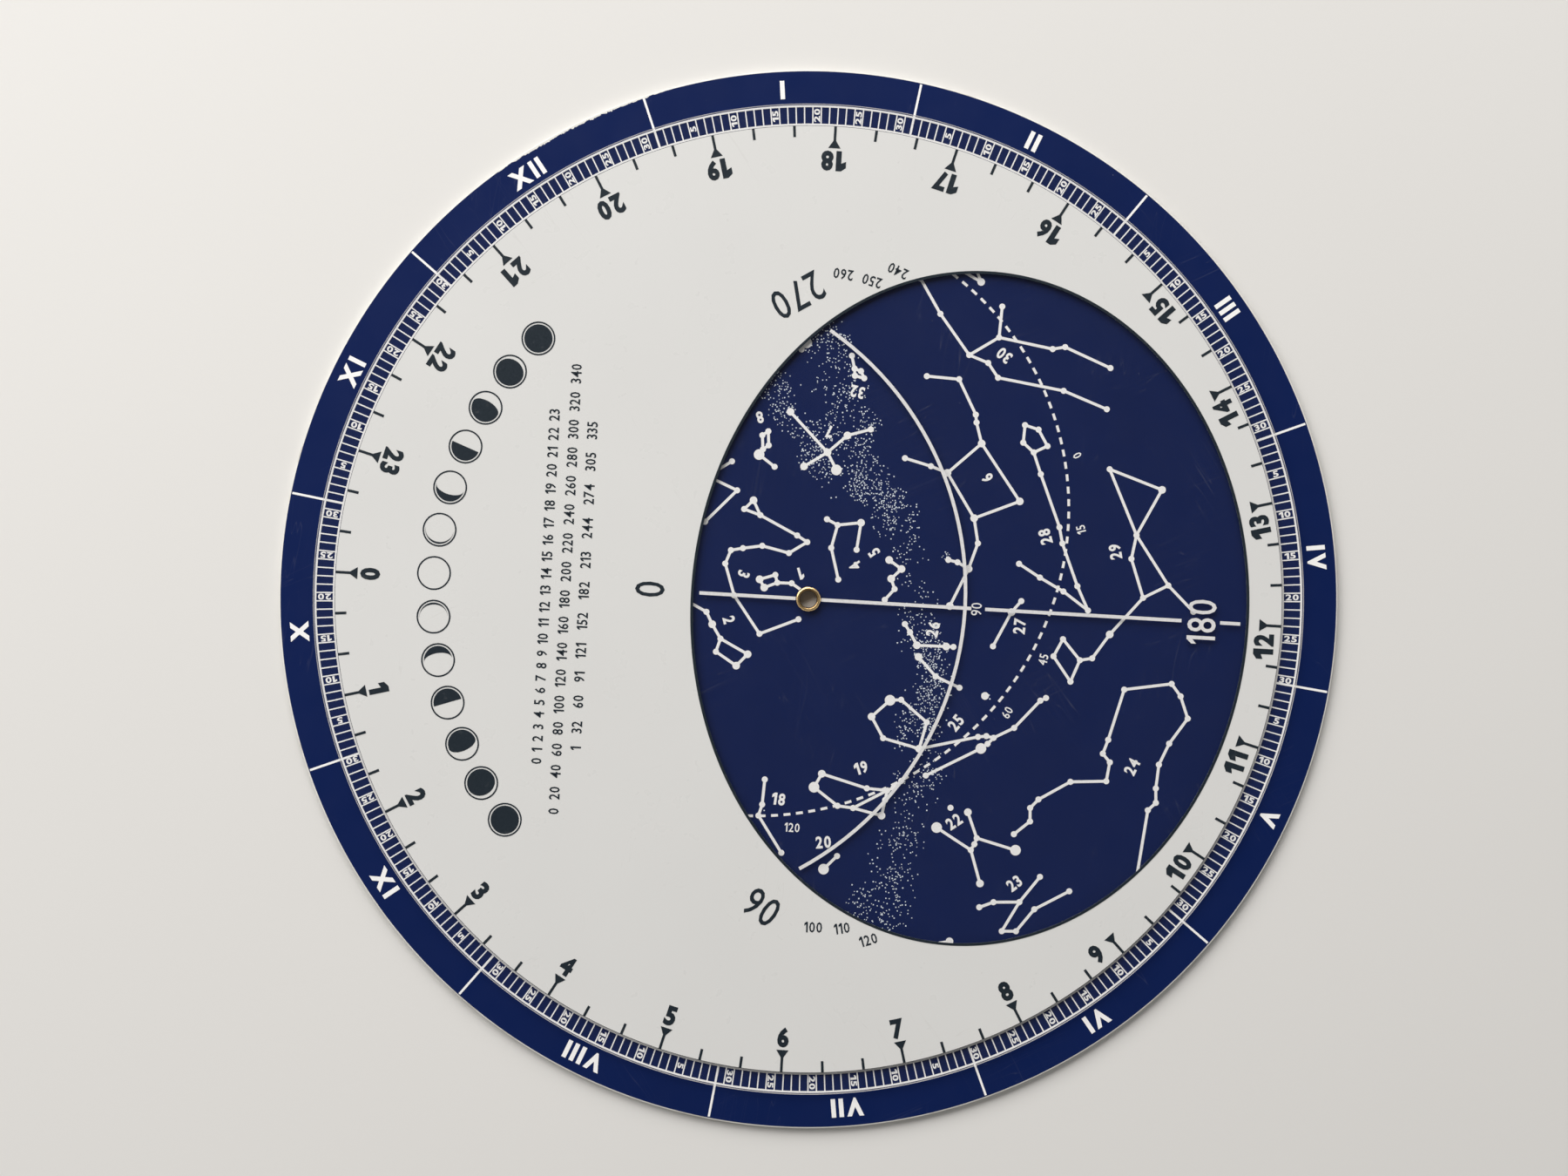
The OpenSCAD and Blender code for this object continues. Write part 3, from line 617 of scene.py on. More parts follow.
def flat_profile(inner_r, outer_r, low, high, round_r=0.0):
    """The section of a flat ring, whose outer edge may be rounded."""
    if not round_r:
        return [(inner_r, low), (outer_r, low), (outer_r, high), (inner_r, high)]
    support = outer_r - RIM_STRIP * round_r
    corner = []
    for centre_z, first in ((low + round_r, -90), (high - round_r, 0)):
        for k in range(CORNER_STEPS + 1):
            a = radians(first + 90 * k / CORNER_STEPS)
            corner.append((outer_r - round_r + round_r * cos(a), centre_z + round_r * sin(a)))
    return [(inner_r, low), (support, low), *corner, (support, high), (inner_r, high)]


# Flat shapes of ink

def prism(shell, outline, low, high):
    """A flat shape of ink with straight walls, from an outline that runs anticlockwise."""
    below = [shell.verts.new((p[0], p[1], low)) for p in outline]
    above = [shell.verts.new((p[0], p[1], high)) for p in outline]
    shell.faces.new(above)
    shell.faces.new(below[::-1])
    for k in range(len(outline)):
        n = (k + 1) % len(outline)
        shell.faces.new((below[k], below[n], above[n], above[k]))


def band(shell, outer, inner, low, high):
    """A closed band of ink between two outlines of as many points, both anticlockwise."""
    loops = [[shell.verts.new((p[0], p[1], z)) for p in loop]
             for loop, z in ((outer, low), (outer, high), (inner, high), (inner, low))]
    for first, second in zip(loops, loops[1:] + loops[:1]):
        for k in range(len(outer)):
            n = (k + 1) % len(outer)
            shell.faces.new((first[k], first[n], second[n], second[k]))


def shell_mesh(name, shell):
    mesh = bpy.data.meshes.new(name)
    shell.to_mesh(mesh)
    shell.free()
    return mesh


def shell_object(name, shell, finish):
    mesh = shell_mesh(name, shell)
    mesh.materials.append(finish_of(finish))
    return link(name, mesh)


def window_point(step, steps, margin=0.0):
    """A point of the window's outline, grown by a margin."""
    window, noon = sizes_of("window"), sizes_of("scale").noon_turn
    a = 2 * pi * step / steps
    south = window.shift + (window.half_h + margin) * cos(a)
    east = (window.half_w + margin) * sin(a)
    return at(south, noon) + at(east, noon - pi / 2)


# Materials

def white_plastic(s):
    grime = s.step(s.cloud(6, 5, 0.6), 0.5, 0.75) * s.step(s.radius, 99.2, 100)
    base = s.shade(ink("plastic"), 0.97 + 0.06 * s.cloud(14))
    relief = s.cloud(0.35, 4, 0.6) * 0.5 + s.scratches() * -0.5
    return s.film(s.mix(grime * 0.55, base, GRIME), 0.3 + 0.2 * s.cloud(3), relief, 0.004, shine=0.4)


def navy_ink(s):
    """Navy ink, chipped along its edge, with a painted highlight that whitens a wider strip of edge facing
    the lamp.
    """
    scratch = s.scratches(0.005)
    base = s.shade(ink("navy"), 0.9 + 0.2 * s.cloud(22, 4, 0.6))
    worn = s.mix(scratch * 0.05, base, WORN_NAVY)
    # Painted highlight: the white strip along the edge widens on the side facing the lamp; elsewhere it is
    # real chipping
    lamp_side_highlight = s.step(s.y * LAMP_SIDE_UP - s.x * LAMP_SIDE_LEFT, 97.6, 99.2)
    chips_and_highlight = s.cloud(1.3, 4, 0.65) - 0.5 + 0.16 * lamp_side_highlight
    edge = s.step(s.radius + chips_and_highlight * (0.06 + 1.7 * lamp_side_highlight), 99.72, 99.78)
    dusty = s.mix(s.specks(3.2, 0.03, 0.09, 0.86) * 0.5, worn, PALE_DUST)
    colour = s.mix(edge, dusty, ink("plastic"))
    relief = s.cloud(0.5, 4, 0.6) * 0.35 - scratch * 0.4 - edge * 1.5
    return s.film(colour, 0.34 + 0.16 * s.cloud(5) + 0.2 * scratch, relief, 0.006, shine=0.2)


def white_ink(s, key="white"):
    grain = s.cloud(0.55, 3, 0.7)
    base = s.shade(ink(key), 0.93 + 0.1 * grain + 0.04 * s.cloud(18))
    colour = s.mix(s.specks(0.9, 0.02, 0.07, 0.9) * 0.45, base, PINHOLE)
    return s.film(colour, 0.42 + 0.16 * grain, grain, 0.004, shine=0.3)


def slate_ink(s, key="slate"):
    grain = s.cloud(0.5, 3, 0.7)
    thin = s.step(s.cloud(2.4, 4, 0.7), 0.58, 0.75)
    colour = s.mix(thin * 0.04, s.shade(ink(key), 0.8 + 0.4 * grain), ink("mask"))
    return s.film(colour, 0.36 + 0.2 * grain, grain, 0.004, shine=0.4)


def mask_ink(s):
    scratch = s.scratches(0.0035)
    hairs = s.specks(11, 0.05, 0.12, 0.9)
    base = s.shade(ink("mask"), 0.975 + 0.05 * s.cloud(30, 3, 0.5))
    colour = s.mix(hairs * 0.75, s.mix(scratch * 0.1, base, WORN_MASK), DARK_HAIR)
    relief = s.cloud(0.9, 3, 0.5) * 0.5 - scratch * 0.35 + hairs
    return s.film(colour, 0.24 + 0.1 * s.cloud(4) + 0.2 * scratch, relief, 0.005)


def clear_plastic(s):
    """Clear where nothing marks it, with a gloss that grows as it is seen aslant."""
    scratch = s.scratches(0.0035)
    lint = s.specks(2.6, 0.04, 0.09, 0.9)
    rim = s.step(s.radius, 93.3, 93.42)
    marks = (scratch * 0.1).math("MAXIMUM", lint * 0.7).math("MAXIMUM", rim)
    haze = 0.002 + 0.006 * s.step(s.cloud(16, 4, 0.6), 0.35, 0.8)
    gloss = 0.02 + 0.9 * s.add("ShaderNodeLayerWeight", inputs={"Blend": 0.5}, output="Facing") ** 5
    clear = s.add("ShaderNodeBsdfTransparent")
    film = s.film(ink("haze"), 0.07 + 0.5 * marks, s.cloud(26, 2, 0.4) * 6 - scratch, 0.004,
                  metallic=0.93 * (1 - marks))
    shown = (gloss + marks * 0.3 + haze).math("MINIMUM", 1.0)
    return s.add("ShaderNodeMixShader", inputs={0: shown, 1: clear, 2: film})


def rolled_brass(s):
    # Painted shade: the bore and the inner side of the rims darken towards the tarnish colour; the patches
    # are real stains
    inner = 1 - s.step(s.radius, 1.76, 1.98)
    stain = s.step(s.cloud(0.45, 4, 0.65), 0.5, 0.76)
    dark = (stain * 0.35 + inner * 0.8).math("MINIMUM", 1.0)
    drawn = s.cloud(0.12, 3, 0.7)
    return s.film(s.mix(dark, ink("brass"), ink("tarnish")), 0.22 + 0.22 * stain + 0.1 * drawn,
                  drawn + s.cloud(0.5, 2, 0.5), 0.012, metallic=1.0)


def floor_paper(s):
    grain = s.cloud(1.6, 4, 0.6)
    colour = s.shade(tuple(sizes_of("stage").floor), 0.985 + 0.03 * s.cloud(160, 2, 0.5))
    return s.film(colour, 0.75 + 0.1 * grain, grain, 0.01, shine=0.2)


FINISHES = {
    "white_plastic": white_plastic, "navy_ink": navy_ink, "white_ink": white_ink, "slate_ink": slate_ink,
    "star_dust": lambda s: white_ink(s, "dust"), "sight_ink": lambda s: slate_ink(s, "sight"),
    "mask_ink": mask_ink, "clear_plastic": clear_plastic, "rolled_brass": rolled_brass,
    "floor_paper": floor_paper}


@cache
def finish_of(name):
    """The material of a name, made the first time that it is asked for."""
    s = Surface(name)
    s.add("ShaderNodeOutputMaterial", inputs={"Surface": FINISHES[name](s)})
    return s.material


# The sky

def sky(hours, declination):
    """Radius and direction on the chart of a right ascension in hours and a declination in degrees."""
    chart = sizes_of("chart")
    focus = chart.equator_r / tan(radians(chart.rate * 90))
    radius = focus * tan(radians(chart.rate * (90 - declination)))
    return radius, sizes_of("scale").january_turn + chart.equinox_day * DAY_STEP + hours * HOUR_STEP


def ecliptic(longitude):
    """Right ascension in hours and declination in degrees of a point of the ecliptic."""
    tilt = sizes_of("chart").obliquity
    lon = radians(longitude)
    hours = atan2(cos(tilt) * sin(lon), cos(lon)) / HOUR_STEP
    return hours, degrees(asin(sin(tilt) * sin(lon)))


def galaxy(longitude, latitude):
    """Right ascension in hours and declination in degrees of a galactic longitude and latitude."""
    pole_ra, pole_dec, node = radians(192.86), radians(27.13), radians(122.93)
    b, turned = radians(latitude), node - radians(longitude)
    dec = asin(sin(b) * sin(pole_dec) + cos(b) * cos(pole_dec) * cos(turned))
    toward = sin(b) * cos(pole_dec) - cos(b) * sin(pole_dec) * cos(turned)
    return (pole_ra + atan2(cos(b) * sin(turned), toward)) / HOUR_STEP, degrees(dec)


# Numbers

class Page:
    """Numbers of one weight, waiting to be printed beside a CAD mark."""

    def __init__(self, glyphs, mark):
        self.glyphs = glyphs
        self.mark = mark
        self.height = foot(mark)
        self.points, self.picks, self.turns, self.sizes = [], [], [], []

    def width(self, text, tall, stretch, gap):
        return sum(self.glyphs.widths[c] * tall * stretch + gap for c in text) - gap

    def write(self, text, centre, up, tall, stretch=STRETCH, gap=None):
        """Prints a number about a centre. Its top points in the direction up."""
        gap = tall * GLYPH_GAP if gap is None else gap
        reading = at(1, up + pi / 2)
        start = Vector(centre) - reading * (self.width(text, tall, stretch, gap) / 2)
        for c in text:
            wide = self.glyphs.widths[c] * tall * stretch
            place = start + reading * (wide / 2)
            self.points.append((place.x, place.y, self.height))
            self.picks.append(GLYPHS.index(c))
            self.turns.append(-up)
            self.sizes.append(Vector((tall * stretch, tall, 1)))
            start = start + reading * (wide + gap)

    def row(self, words, centre, up, tall, span):
        """Prints words in one line, with spaces that make the line fill its span."""
        gap = tall * ROW_GAP
        widths = [self.width(w, tall, STRETCH, gap) for w in words]
        space = (span - sum(widths)) / (len(words) - 1)
        reading = at(1, up + pi / 2)
        start = Vector(centre) - reading * (span / 2)
        for word, wide in zip(words, widths):
            self.write(word, start + reading * (wide / 2), up, tall, gap=gap)
            start = start + reading * (wide + space)

    def print(self, name):
        """Makes the numbers one piece, in the ink and on the body of the CAD mark."""
        body, finish, slot = MARKS[self.mark]
        mesh = marked_mesh(name, self.points, glyph=self.picks, turn=self.turns, size=self.sizes)
        settle(glyph_recipe().run(name, mesh, finish, glyphs=self.glyphs.shelf), body, slot)


class GlyphCase:
    """The digits and three Roman letters in one weight, each one unit high and centred on its place."""

    def __init__(self, name, thickness):
        weight, steps = WEIGHTS[name]
        self.shelf = bpy.data.collections.new(name)
        self.widths = {}
        for index, character in enumerate(GLYPHS):
            mesh = (self.flag_one(weight, thickness) if character == "1"
                    else self.cut(character, weight, steps, thickness))
            xs, ys = zip(*(v.co.xy for v in mesh.vertices))
            tall = max(ys) - min(ys)
            centre = Matrix.Translation(((max(xs) + min(xs)) / -2, (max(ys) + min(ys)) / -2, 0))
            mesh.transform(Matrix.Diagonal((1 / tall, 1 / tall, 1, 1)) @ centre)
            self.widths[character] = (max(xs) - min(xs)) / tall
            self.shelf.objects.link(bpy.data.objects.new(f"{name}_{index:02d}", mesh))

    def cut(self, character, weight, steps, thickness):
        """A glyph of the built-in font."""
        text = bpy.data.curves.new("glyph", "FONT")
        text.body, text.offset, text.resolution_u, text.extrude = character, weight, steps, thickness / 2
        holder = link("glyph", text)
        mesh = final_mesh(holder)
        mesh.transform(Matrix.Translation((0, 0, thickness / 2)))
        bpy.data.objects.remove(holder)
        return mesh

    def flag_one(self, weight, thickness):
        """A one with a flag, which the built-in font lacks."""
        half, flag, top, fold = 0.05 + weight, 0.13 + weight, 0.69, 0.57
        shell = bmesh.new()
        prism(shell, [(-half, 0), (half, 0), (half, top), (-half, top), (-half - flag, fold),
                      (-half - flag, fold - 2.1 * half), (-half, top - 2.6 * half)], 0, thickness)
        return shell_mesh("one", shell)

    def clear(self):
        for glyph in list(self.shelf.objects):
            bpy.data.objects.remove(glyph)
        bpy.data.collections.remove(self.shelf)


@cache
def glyph_recipe():
    """Puts a glyph on every point."""
    recipe = Recipe("Printed glyphs", glyphs="Collection")
    shelf = recipe.add("GeometryNodeCollectionInfo", inputs={
        "Collection": recipe.given["glyphs"], "Separate Children": True, "Reset Children": True})
    picked = {"Pick Instance": True, "Instance Index": recipe.attribute("glyph", "INT")}
    return recipe.stamp(shelf, **picked)


def day_line_recipe():
    """A straight bar of ink on every point, turned to lie along its radius."""
    recipe = Recipe("Day lines", bar_length="Float", thickness="Float")
    return recipe.stamp(recipe.add("GeometryNodeMeshCube", inputs={
        "Size": recipe.vector(1, recipe.given["bar_length"], recipe.given["thickness"])}))


def star_dust_recipe():
    """Scatters small dots over a mesh, as thick as its density says."""
    recipe = Recipe("Star dust", spacing="Float", crowd="Float", seed="Int", least="Float", largest="Float",
                    thickness="Float")
    given = recipe.given
    patches = recipe.add("ShaderNodeTexNoise", inputs={"Scale": PATCHES_PER_METRE, "Detail": 3.0})
    ragged = recipe.step(patches, 0.34, 0.6, start=0.16)
    dots = recipe.add("GeometryNodeDistributePointsOnFaces", {"distribute_method": "POISSON"}, {
        "Mesh": given["geometry"], "Distance Min": given["spacing"], "Density Max": given["crowd"],
        "Density Factor": recipe.attribute("density") * ragged, "Seed": given["seed"]})
    size = recipe.add("FunctionNodeRandomValue", {"data_type": "FLOAT"}, {
        2: given["least"], 3: given["largest"], "Seed": given["seed"]}, 1)
    dot = recipe.add("GeometryNodeMeshCylinder", inputs={"Vertices": 5, "Radius": 1.0, "Depth": 1.0})
    return recipe.close(recipe.add("GeometryNodeInstanceOnPoints", inputs={
        "Points": dots, "Instance": dot, "Scale": recipe.vector(size, size, given["thickness"])}))


# Operators

class MakeSheets(bpy.types.Operator):
    """Builds the star disc, its navy print and the clear overlay"""
    bl_idname = "planisphere.make_sheets"
    bl_label = "Sheets"

    def execute(self, context):
        sizes = sizes_of("sheets")
        disc_hole, overlay_hole = sizes.disc_hole_r, sizes.overlay_hole_r
        for name, node, finish, body, hole_r, round_r in (
                ("star_sheet", "star_disc", "white_plastic", DISC_BODY, disc_hole, sizes.edge_round),
                ("night_sky", "navy_print", "navy_ink", DISC_BODY, disc_hole, 0.0),
                ("clear_overlay", "overlay_sheet", "clear_plastic", OVERLAY_BODY, overlay_hole,
                 sizes.overlay_round)):
            section = flat_profile(hole_r, reach(node), foot(node), head(node), round_r)
            settle(turned_ring(name, section, finish, sizes.segments), body, finish, node)
        return {"FINISHED"}


class PrintMask(bpy.types.Operator):
    """Prints the mask and the dark line round its window"""
    bl_idname = "planisphere.print_mask"
    bl_label = "Mask"

    def execute(self, context):
        steps, window = sizes_of("sheets").segments, sizes_of("window")
        outline = [window_point(k, steps) for k in range(steps)]
        inner = [window_point(k, steps, -window.border_w) for k in range(steps)]
        middle = at(window.shift, sizes_of("scale").noon_turn)
        mask_r = reach("horizon_mask")
        rim = []
        for point in inner:
            away = (point - middle).normalized()
            across = middle.dot(away)
            rim.append(middle + away * (sqrt(across ** 2 - middle.length_squared + mask_r ** 2) - across))
        for name, outer, finish, node in (("horizon_print", rim, "mask_ink", "horizon_mask"),
                                          ("window_line", outline, "slate_ink", "window_border")):
            shell = bmesh.new()
            band(shell, outer, inner, foot(node), head(node))
            settle(close_shell(shell_object(name, shell, finish)), OVERLAY_BODY, finish, node)
        return {"FINISHED"}


class PrintDateScale(bpy.types.Operator):
    """Prints the two rings of the date scale and a line for each day"""
    bl_idname = "planisphere.print_date_scale"
    bl_label = "Date scale"

    def execute(self, context):
        scale, steps = sizes_of("scale"), sizes_of("sheets").segments
        low, high = foot("date_scale"), head("date_scale")
        outer = reach("date_scale")
        day_outer = outer - scale.ring_w
        day_inner = day_outer - scale.day_band_w
        for name, ring_outer, replaced in (("date_rings", outer, ["date_scale"]),
                                           ("date_ring_inner", day_inner, [])):
            section = flat_profile(ring_outer - scale.ring_w, ring_outer, low, high)
            settle(turned_ring(name, section, "white_ink", steps), DISC_BODY, "white_ink", *replaced)

        turns = [scale.january_turn + day * DAY_STEP for day in range(DAYS)]
        widths = [scale.month_line_w if day in MONTH_STARTS else scale.day_line_w for day in range(DAYS)]
        middle, level = (day_outer + day_inner) / 2, (low + high) / 2
        mesh = marked_mesh("day_lines", [at(middle, t, level) for t in turns], turn=[-t for t in turns],
                           size=[Vector((w, 1, 1)) for w in widths])
        lines = day_line_recipe().run("day_lines", mesh, "white_ink", bar_length=scale.day_band_w,
                                      thickness=high - low)
        settle(lines, DISC_BODY, "white_ink")
        return {"FINISHED"}


class ScatterStarDust(bpy.types.Operator):
    """Prints the galaxy's two arms and a few small clusters as fine dots"""
    bl_idname = "planisphere.scatter_star_dust"
    bl_label = "Star dust"

    def crowding(self, longitude, latitude, fade):
        """How thick the dots lie: as full as either arm is between its edges."""
        best = 0.0
        for arm in (MAIN_ARM, SECOND_ARM):
            for near, far in zip(arm, arm[1:]):
                if near[0] <= longitude <= far[0]:
                    part = (longitude - near[0]) / (far[0] - near[0])
                    low, high, full = (a + (b - a) * part for a, b in zip(near[1:], far[1:]))
                    inside = min(latitude - low, high - latitude)
                    best = max(best, full * min(1.0, max(0.0, 0.5 + inside / fade / 2)))
        return best

    def execute(self, context):
        dust, edge_r = sizes_of("dust"), sizes_of("chart").edge_r
        thickness = (head("star_chart") - head("navy_print")) / 2
        level = head("navy_print") + thickness / 2
        points, density, faces = [], [], []
        column = 2 * BAND_REACH + 1
        for i in range(BAND_STEPS):
            longitude = 360 * i / BAND_STEPS
            for latitude in range(-BAND_REACH, BAND_REACH + 1):
                radius, direction = sky(*galaxy(longitude, latitude))
                points.append(at(min(radius, edge_r), direction, level))
                density.append(self.crowding(longitude, latitude, dust.edge))
            for j in range(column - 1):
                a = i * column + j
                b = (i + 1) % BAND_STEPS * column + j
                faces.append((a, b, b + 1, a + 1))
        for hours, declination, size in CLUSTERS:
            radius, direction = sky(hours, declination)
            faces.append(tuple(range(len(points), len(points) + 6)))
            points += [at(radius, direction, level) + at(size * MM, pi / 3 * k) for k in range(6)]
            density += [CLUSTER_FULLNESS] * 6
        inside = edge_r - EDGE_MARGIN
        faces = [f for f in faces if max(points[k].xy.length for k in f) < inside
                 and max(density[k] for k in f) > 0]
        made = star_dust_recipe().run(
            "star_dust", marked_mesh("star_dust", points, faces, density=density), "star_dust",
            spacing=dust.spacing, crowd=dust.crowd / MM ** 2, seed=dust.seed, least=dust.dot_low_r,
            largest=dust.dot_high_r, thickness=thickness)
        settle(made, DISC_BODY, "white_ink")
        return {"FINISHED"}


class PrintNumbers(bpy.types.Operator):
    """Prints the numbers of the months, days, hours, azimuths, figures and tables"""
    bl_idname = "planisphere.print_numbers"
    bl_label = "Numbers"

    def print_dates(self, sizes, months, days):
        """Numerals over the months, and every fifth day beside the middle of its space."""
        scale = sizes_of("scale")
        day_r = reach("date_scale") - scale.ring_w - scale.day_band_w / 2
        for start, days_long, numeral in zip(MONTH_STARTS, MONTH_LENGTHS, MONTH_NUMERALS):
            middle = scale.january_turn + (start + days_long / 2) * DAY_STEP
            months.write(numeral, at(sizes.month_r, middle), middle, sizes.month_h,
                         MONTH_STRETCH, MONTH_GAP)
            for day in range(5, days_long + 1, 5):
                direction = scale.january_turn + (start + day - 0.5) * DAY_STEP
                days.write(str(day), at(day_r, direction), direction - pi / 2, sizes.day_h, DAY_STRETCH,
                           DAY_GAP)
        months.print("month_numerals")
        days.print("day_numbers")

    def print_sky(self, sizes, figures, longitudes):
        """Index numbers of the star figures, and longitudes beside the ecliptic."""
        for index, place in enumerate(FIGURE_PLACES, 1):
            radius, direction = sky(*place)
            figures.write(str(index), at(radius, direction), direction + pi, sizes.figure_h)
        figures.print("figure_numbers")
        for longitude in LONGITUDES:
            radius, direction = sky(*ecliptic(longitude))
            longitudes.write(str(longitude), at(radius + LONGITUDE_GAP, direction), direction + pi,
                             LONGITUDE_SHARE * sizes.table_h)
        longitudes.print("ecliptic_numbers")

    def print_hours(self, sizes, hours):
        """The hours of a day inside their pointers."""
        for hour in range(HOURS):
            direction = sizes_of("scale").noon_turn + HOUR_STEP * (12 - hour)
            beside = hour in SOUTHERN_HOURS
            place = at(sizes.hour_south_r if beside else sizes.hour_r,
                       direction + (STEP_ASIDE if beside else 0))
            hours.write(str(hour), place, direction + pi, sizes.hour_h, HOUR_STRETCH)
        hours.print("hour_numbers")

    def print_azimuths(self, sizes, azimuths, south):
        """The four main azimuths, and the height of the zenith."""
        noon = sizes_of("scale").noon_turn
        middle = at(sizes_of("window").shift, noon)
        for text, x, y in AZIMUTHS:
            toward = middle - spot(x, y)
            azimuths.write(text, spot(x, y), atan2(toward.x, toward.y), sizes.azimuth_h, AZIMUTH_STRETCH)
        azimuths.print("azimuth_numbers")
        south.write("180", spot(*SOUTH_PLACE), noon + pi, SOUTH_SHARE * sizes.azimuth_h,
                    AZIMUTH_STRETCH)
        south.write("90", spot(*ZENITH_PLACE), noon + pi, sizes.table_h)
        south.print("sight_numbers")

    def print_tables(self, sizes, tables):
        """Rows of hours, degrees and the months' first days, and six finer azimuths."""
        for numbers, x, y, span in TABLE_ROWS:
            tables.row([str(n) for n in numbers], spot(x, y), TABLE_UP, sizes.table_h, span * MM)
        for text, x, y, up in FINE_AZIMUTHS:
            tables.write(text, spot(x, y), radians(up), sizes.table_h)
        tables.print("table_numbers")

    def execute(self, context):
        sizes = sizes_of("numbers")
        thin = GLYPH_DEPTH * (head("hour_scale") - foot("hour_scale"))
        cases = {name: GlyphCase(name, thin) for name in WEIGHTS}
        for step, *pages in (
                (self.print_dates, ("bold", "star_chart"), ("heavy", "star_chart")),
                (self.print_sky, ("heavy", "star_chart"), ("small", "star_chart")),
                (self.print_hours, ("bold", "hour_scale")),
                (self.print_azimuths, ("light", "hour_scale"), ("light", "sight_lines")),
                (self.print_tables, ("small", "hour_scale"))):
            step(sizes, *(Page(cases[weight], mark) for weight, mark in pages))
        for case in cases.values():
            case.clear()
        return {"FINISHED"}


class PrintMoons(bpy.types.Operator):
    """Prints a row of moons, from new to full and back, along the mask's broad side"""
    bl_idname = "planisphere.print_moons"
    bl_label = "Moons"

    def arc(self, place, wide, tall, first, last, count):
        """Points along an ellipse's arc, in the frame of a moon's place."""
        angles = (first + (last - first) * n / count for n in range(count))
        return [place @ Vector((wide * cos(a), tall * sin(a), 0)) for a in angles]

    def execute(self, context):
        moons = sizes_of("moons")
        low, high = foot("hour_scale"), head("hour_scale")
        dark_r = moons.moon_r - moons.rim_w - moons.rim_gap
        shell = bmesh.new()
        for k in range(moons.moons):
            part = k / (moons.moons - 1)
            direction = moons.first_turn + (moons.last_turn - moons.first_turn) * part
            place = Matrix.Translation(at(moons.row_r, direction)) @ Matrix.Rotation(-direction, 4, "Z")
            outer, inner = (self.arc(place, r, r, 0, 2 * pi, MOON_STEPS)
                            for r in (moons.moon_r, moons.moon_r - moons.rim_w))
            band(shell, outer, inner, low, high)
            phase = cos(2 * pi * part)
            side = dark_r if part < 0.5 else -dark_r
            if 1 + phase > LEAST_DARK:
                limb = self.arc(place, side, dark_r, -pi / 2, pi / 2, MOON_STEPS // 2)
                edge = self.arc(place, -side * phase, dark_r, pi / 2, -pi / 2, MOON_STEPS // 2)
                prism(shell, limb + edge, low, high)
        settle(close_shell(shell_object("moon_row", shell, "slate_ink")), OVERLAY_BODY, "slate_ink")
        return {"FINISHED"}


class RollEyelet(bpy.types.Operator):
    """Builds the brass eyelet, rolled over at both ends and split round its upper rim"""
    bl_idname = "planisphere.roll_eyelet"
    bl_label = "Eyelet"

    def execute(self, context):
        sizes = sizes_of("eyelet")
        out_r = sizes.curl_r + sizes.brass_t
        centre_r = sizes.bore_r + sizes.brass_t + sizes.curl_r
        top_z, base_z = head("eyelet") - out_r, foot("eyelet") + out_r
        shares = [k / CURL_STEPS for k in range(CURL_STEPS + 1)]
        outer, inner = ([(centre_r - r * cos(pi * part), r * sin(pi * part), part) for part in shares]
                        for r in (out_r, sizes.curl_r))
        profile, give = [], []
        for curl, sign, z in ((outer, 1, top_z), (inner[::-1], 1, top_z), (inner, -1, base_z),
                              (outer[::-1], -1, base_z)):
            for r, rise, along in curl:
                profile.append((r, z + sign * rise))
                give.append(max(0.0, along - SPLIT_START) / (1 - SPLIT_START) if sign > 0 else 0.0)
        made = turned_ring("rolled_eyelet", profile, "rolled_brass", EYELET_STEPS, give, sizes.splits,
                           sizes.split_w, sizes.split_depth)
        settle(made, DISC_BODY, "brass", "eyelet")
        return {"FINISHED"}


class DressMarks(bpy.types.Operator):
    """Gives the carried-over CAD marks their inks"""
    bl_idname = "planisphere.dress_marks"
    bl_label = "Inks"

    def execute(self, context):
        for node, (_, finish, slot) in MARKS.items():
            mark = frame["nodes"][node]
            mark.data.materials.clear()
            mark.data.materials.append(finish_of(finish))
        return {"FINISHED"}


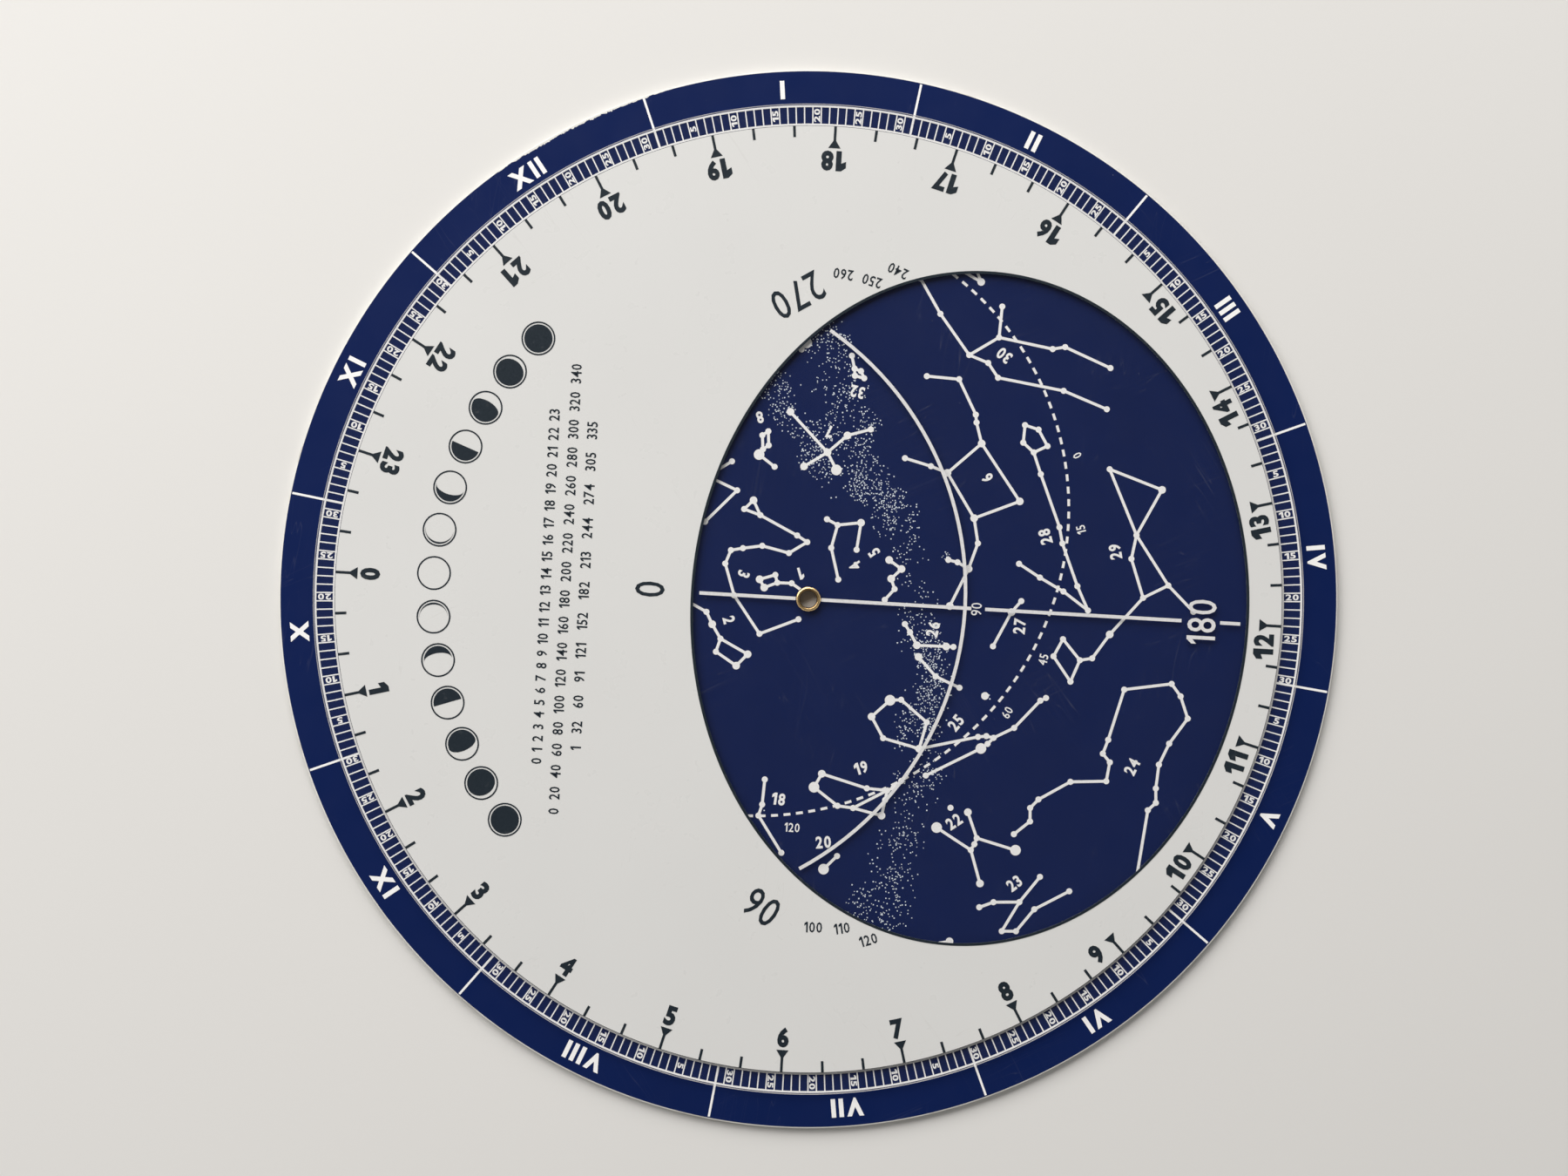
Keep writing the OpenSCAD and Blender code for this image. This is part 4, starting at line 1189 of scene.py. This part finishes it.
class BuildStage(bpy.types.Operator):
    """Builds the floor, the light and the camera"""
    bl_idname = "planisphere.build_stage"
    bl_label = "Stage"

    def light_room(self, stage):
        """Even surroundings, bright at the horizon and dim overhead."""
        world = bpy.data.worlds.new("room")
        world.use_nodes = True
        bpy.context.scene.world = world
        room = Maker(world.node_tree)
        ray = room.add("ShaderNodeTexCoord", output="Generated")
        rise = room.add("ShaderNodeSeparateXYZ", inputs={0: ray}, output=2)
        level = room.step(rise, 0.0, 0.9, stage.sky_low, stage.sky_high)
        light = room.add("ShaderNodeBackground", inputs={"Color": tuple(stage.room), "Strength": level})
        room.add("ShaderNodeOutputWorld", inputs={"Surface": light})

    def execute(self, context):
        stage = sizes_of("stage")
        shell = bmesh.new()
        bmesh.ops.create_circle(shell, cap_ends=True, segments=FLOOR_STEPS, radius=stage.floor_r)
        shell_object("floor", shell, "floor_paper")
        self.light_room(stage)

        lamp = bpy.data.lights.new("window_light", "AREA")
        lamp.shape = "RECTANGLE"
        lamp.size = stage.lamp_wide
        lamp.size_y = stage.lamp_tall
        lamp.energy = stage.lamp_power
        lamp.color = stage.lamp
        holder = link("window_light", lamp)
        flat = stage.lamp_far * cos(stage.lamp_rise)
        holder.location = at(flat, stage.lamp_turn, stage.lamp_far * sin(stage.lamp_rise))
        holder.rotation_euler = (-holder.location).to_track_quat("-Z", "Y").to_euler()

        lens = bpy.data.cameras.new("camera")
        lens.lens = stage.lens
        lens.sensor_width = 36
        camera = link("camera", lens)
        camera.location = (stage.camera_x, stage.camera_y, stage.camera_z + head("star_chart"))
        context.scene.camera = camera
        context.scene.view_settings.view_transform = "Standard"
        return {"FINISHED"}


OPERATORS = (BuildStage, MakeSheets, PrintDateScale, ScatterStarDust, PrintMask, RollEyelet, PrintNumbers,
             PrintMoons, DressMarks)


class PlanispherePanel(bpy.types.Panel):
    """Lists the planisphere's sizes, colours and steps"""
    bl_idname = "VIEW3D_PT_planisphere"
    bl_label = "Planisphere"
    bl_space_type = "VIEW_3D"
    bl_region_type = "UI"
    bl_category = "Planisphere"

    def draw(self, context):
        for operator in OPERATORS:
            self.layout.operator(operator.bl_idname)
        for key, group in GROUPS.items():
            box = self.layout.box()
            box.label(text=key.capitalize())
            for name in group.__annotations__:
                box.prop(sizes_of(key), name)


def register():
    for group in (*GROUPS.values(), *OPERATORS, PlanispherePanel):
        bpy.utils.register_class(group)
    for key, group in GROUPS.items():
        setattr(bpy.types.Scene, "planisphere_" + key, PointerProperty(type=group))


def unregister():
    for key in GROUPS:
        delattr(bpy.types.Scene, "planisphere_" + key)
    for group in (PlanispherePanel, *OPERATORS, *GROUPS.values()):
        bpy.utils.unregister_class(group)


def main():
    register()
    for operator in OPERATORS:
        family, name = operator.bl_idname.split(".")
        getattr(getattr(bpy.ops, family), name)()


if __name__ == "__main__":
    main()
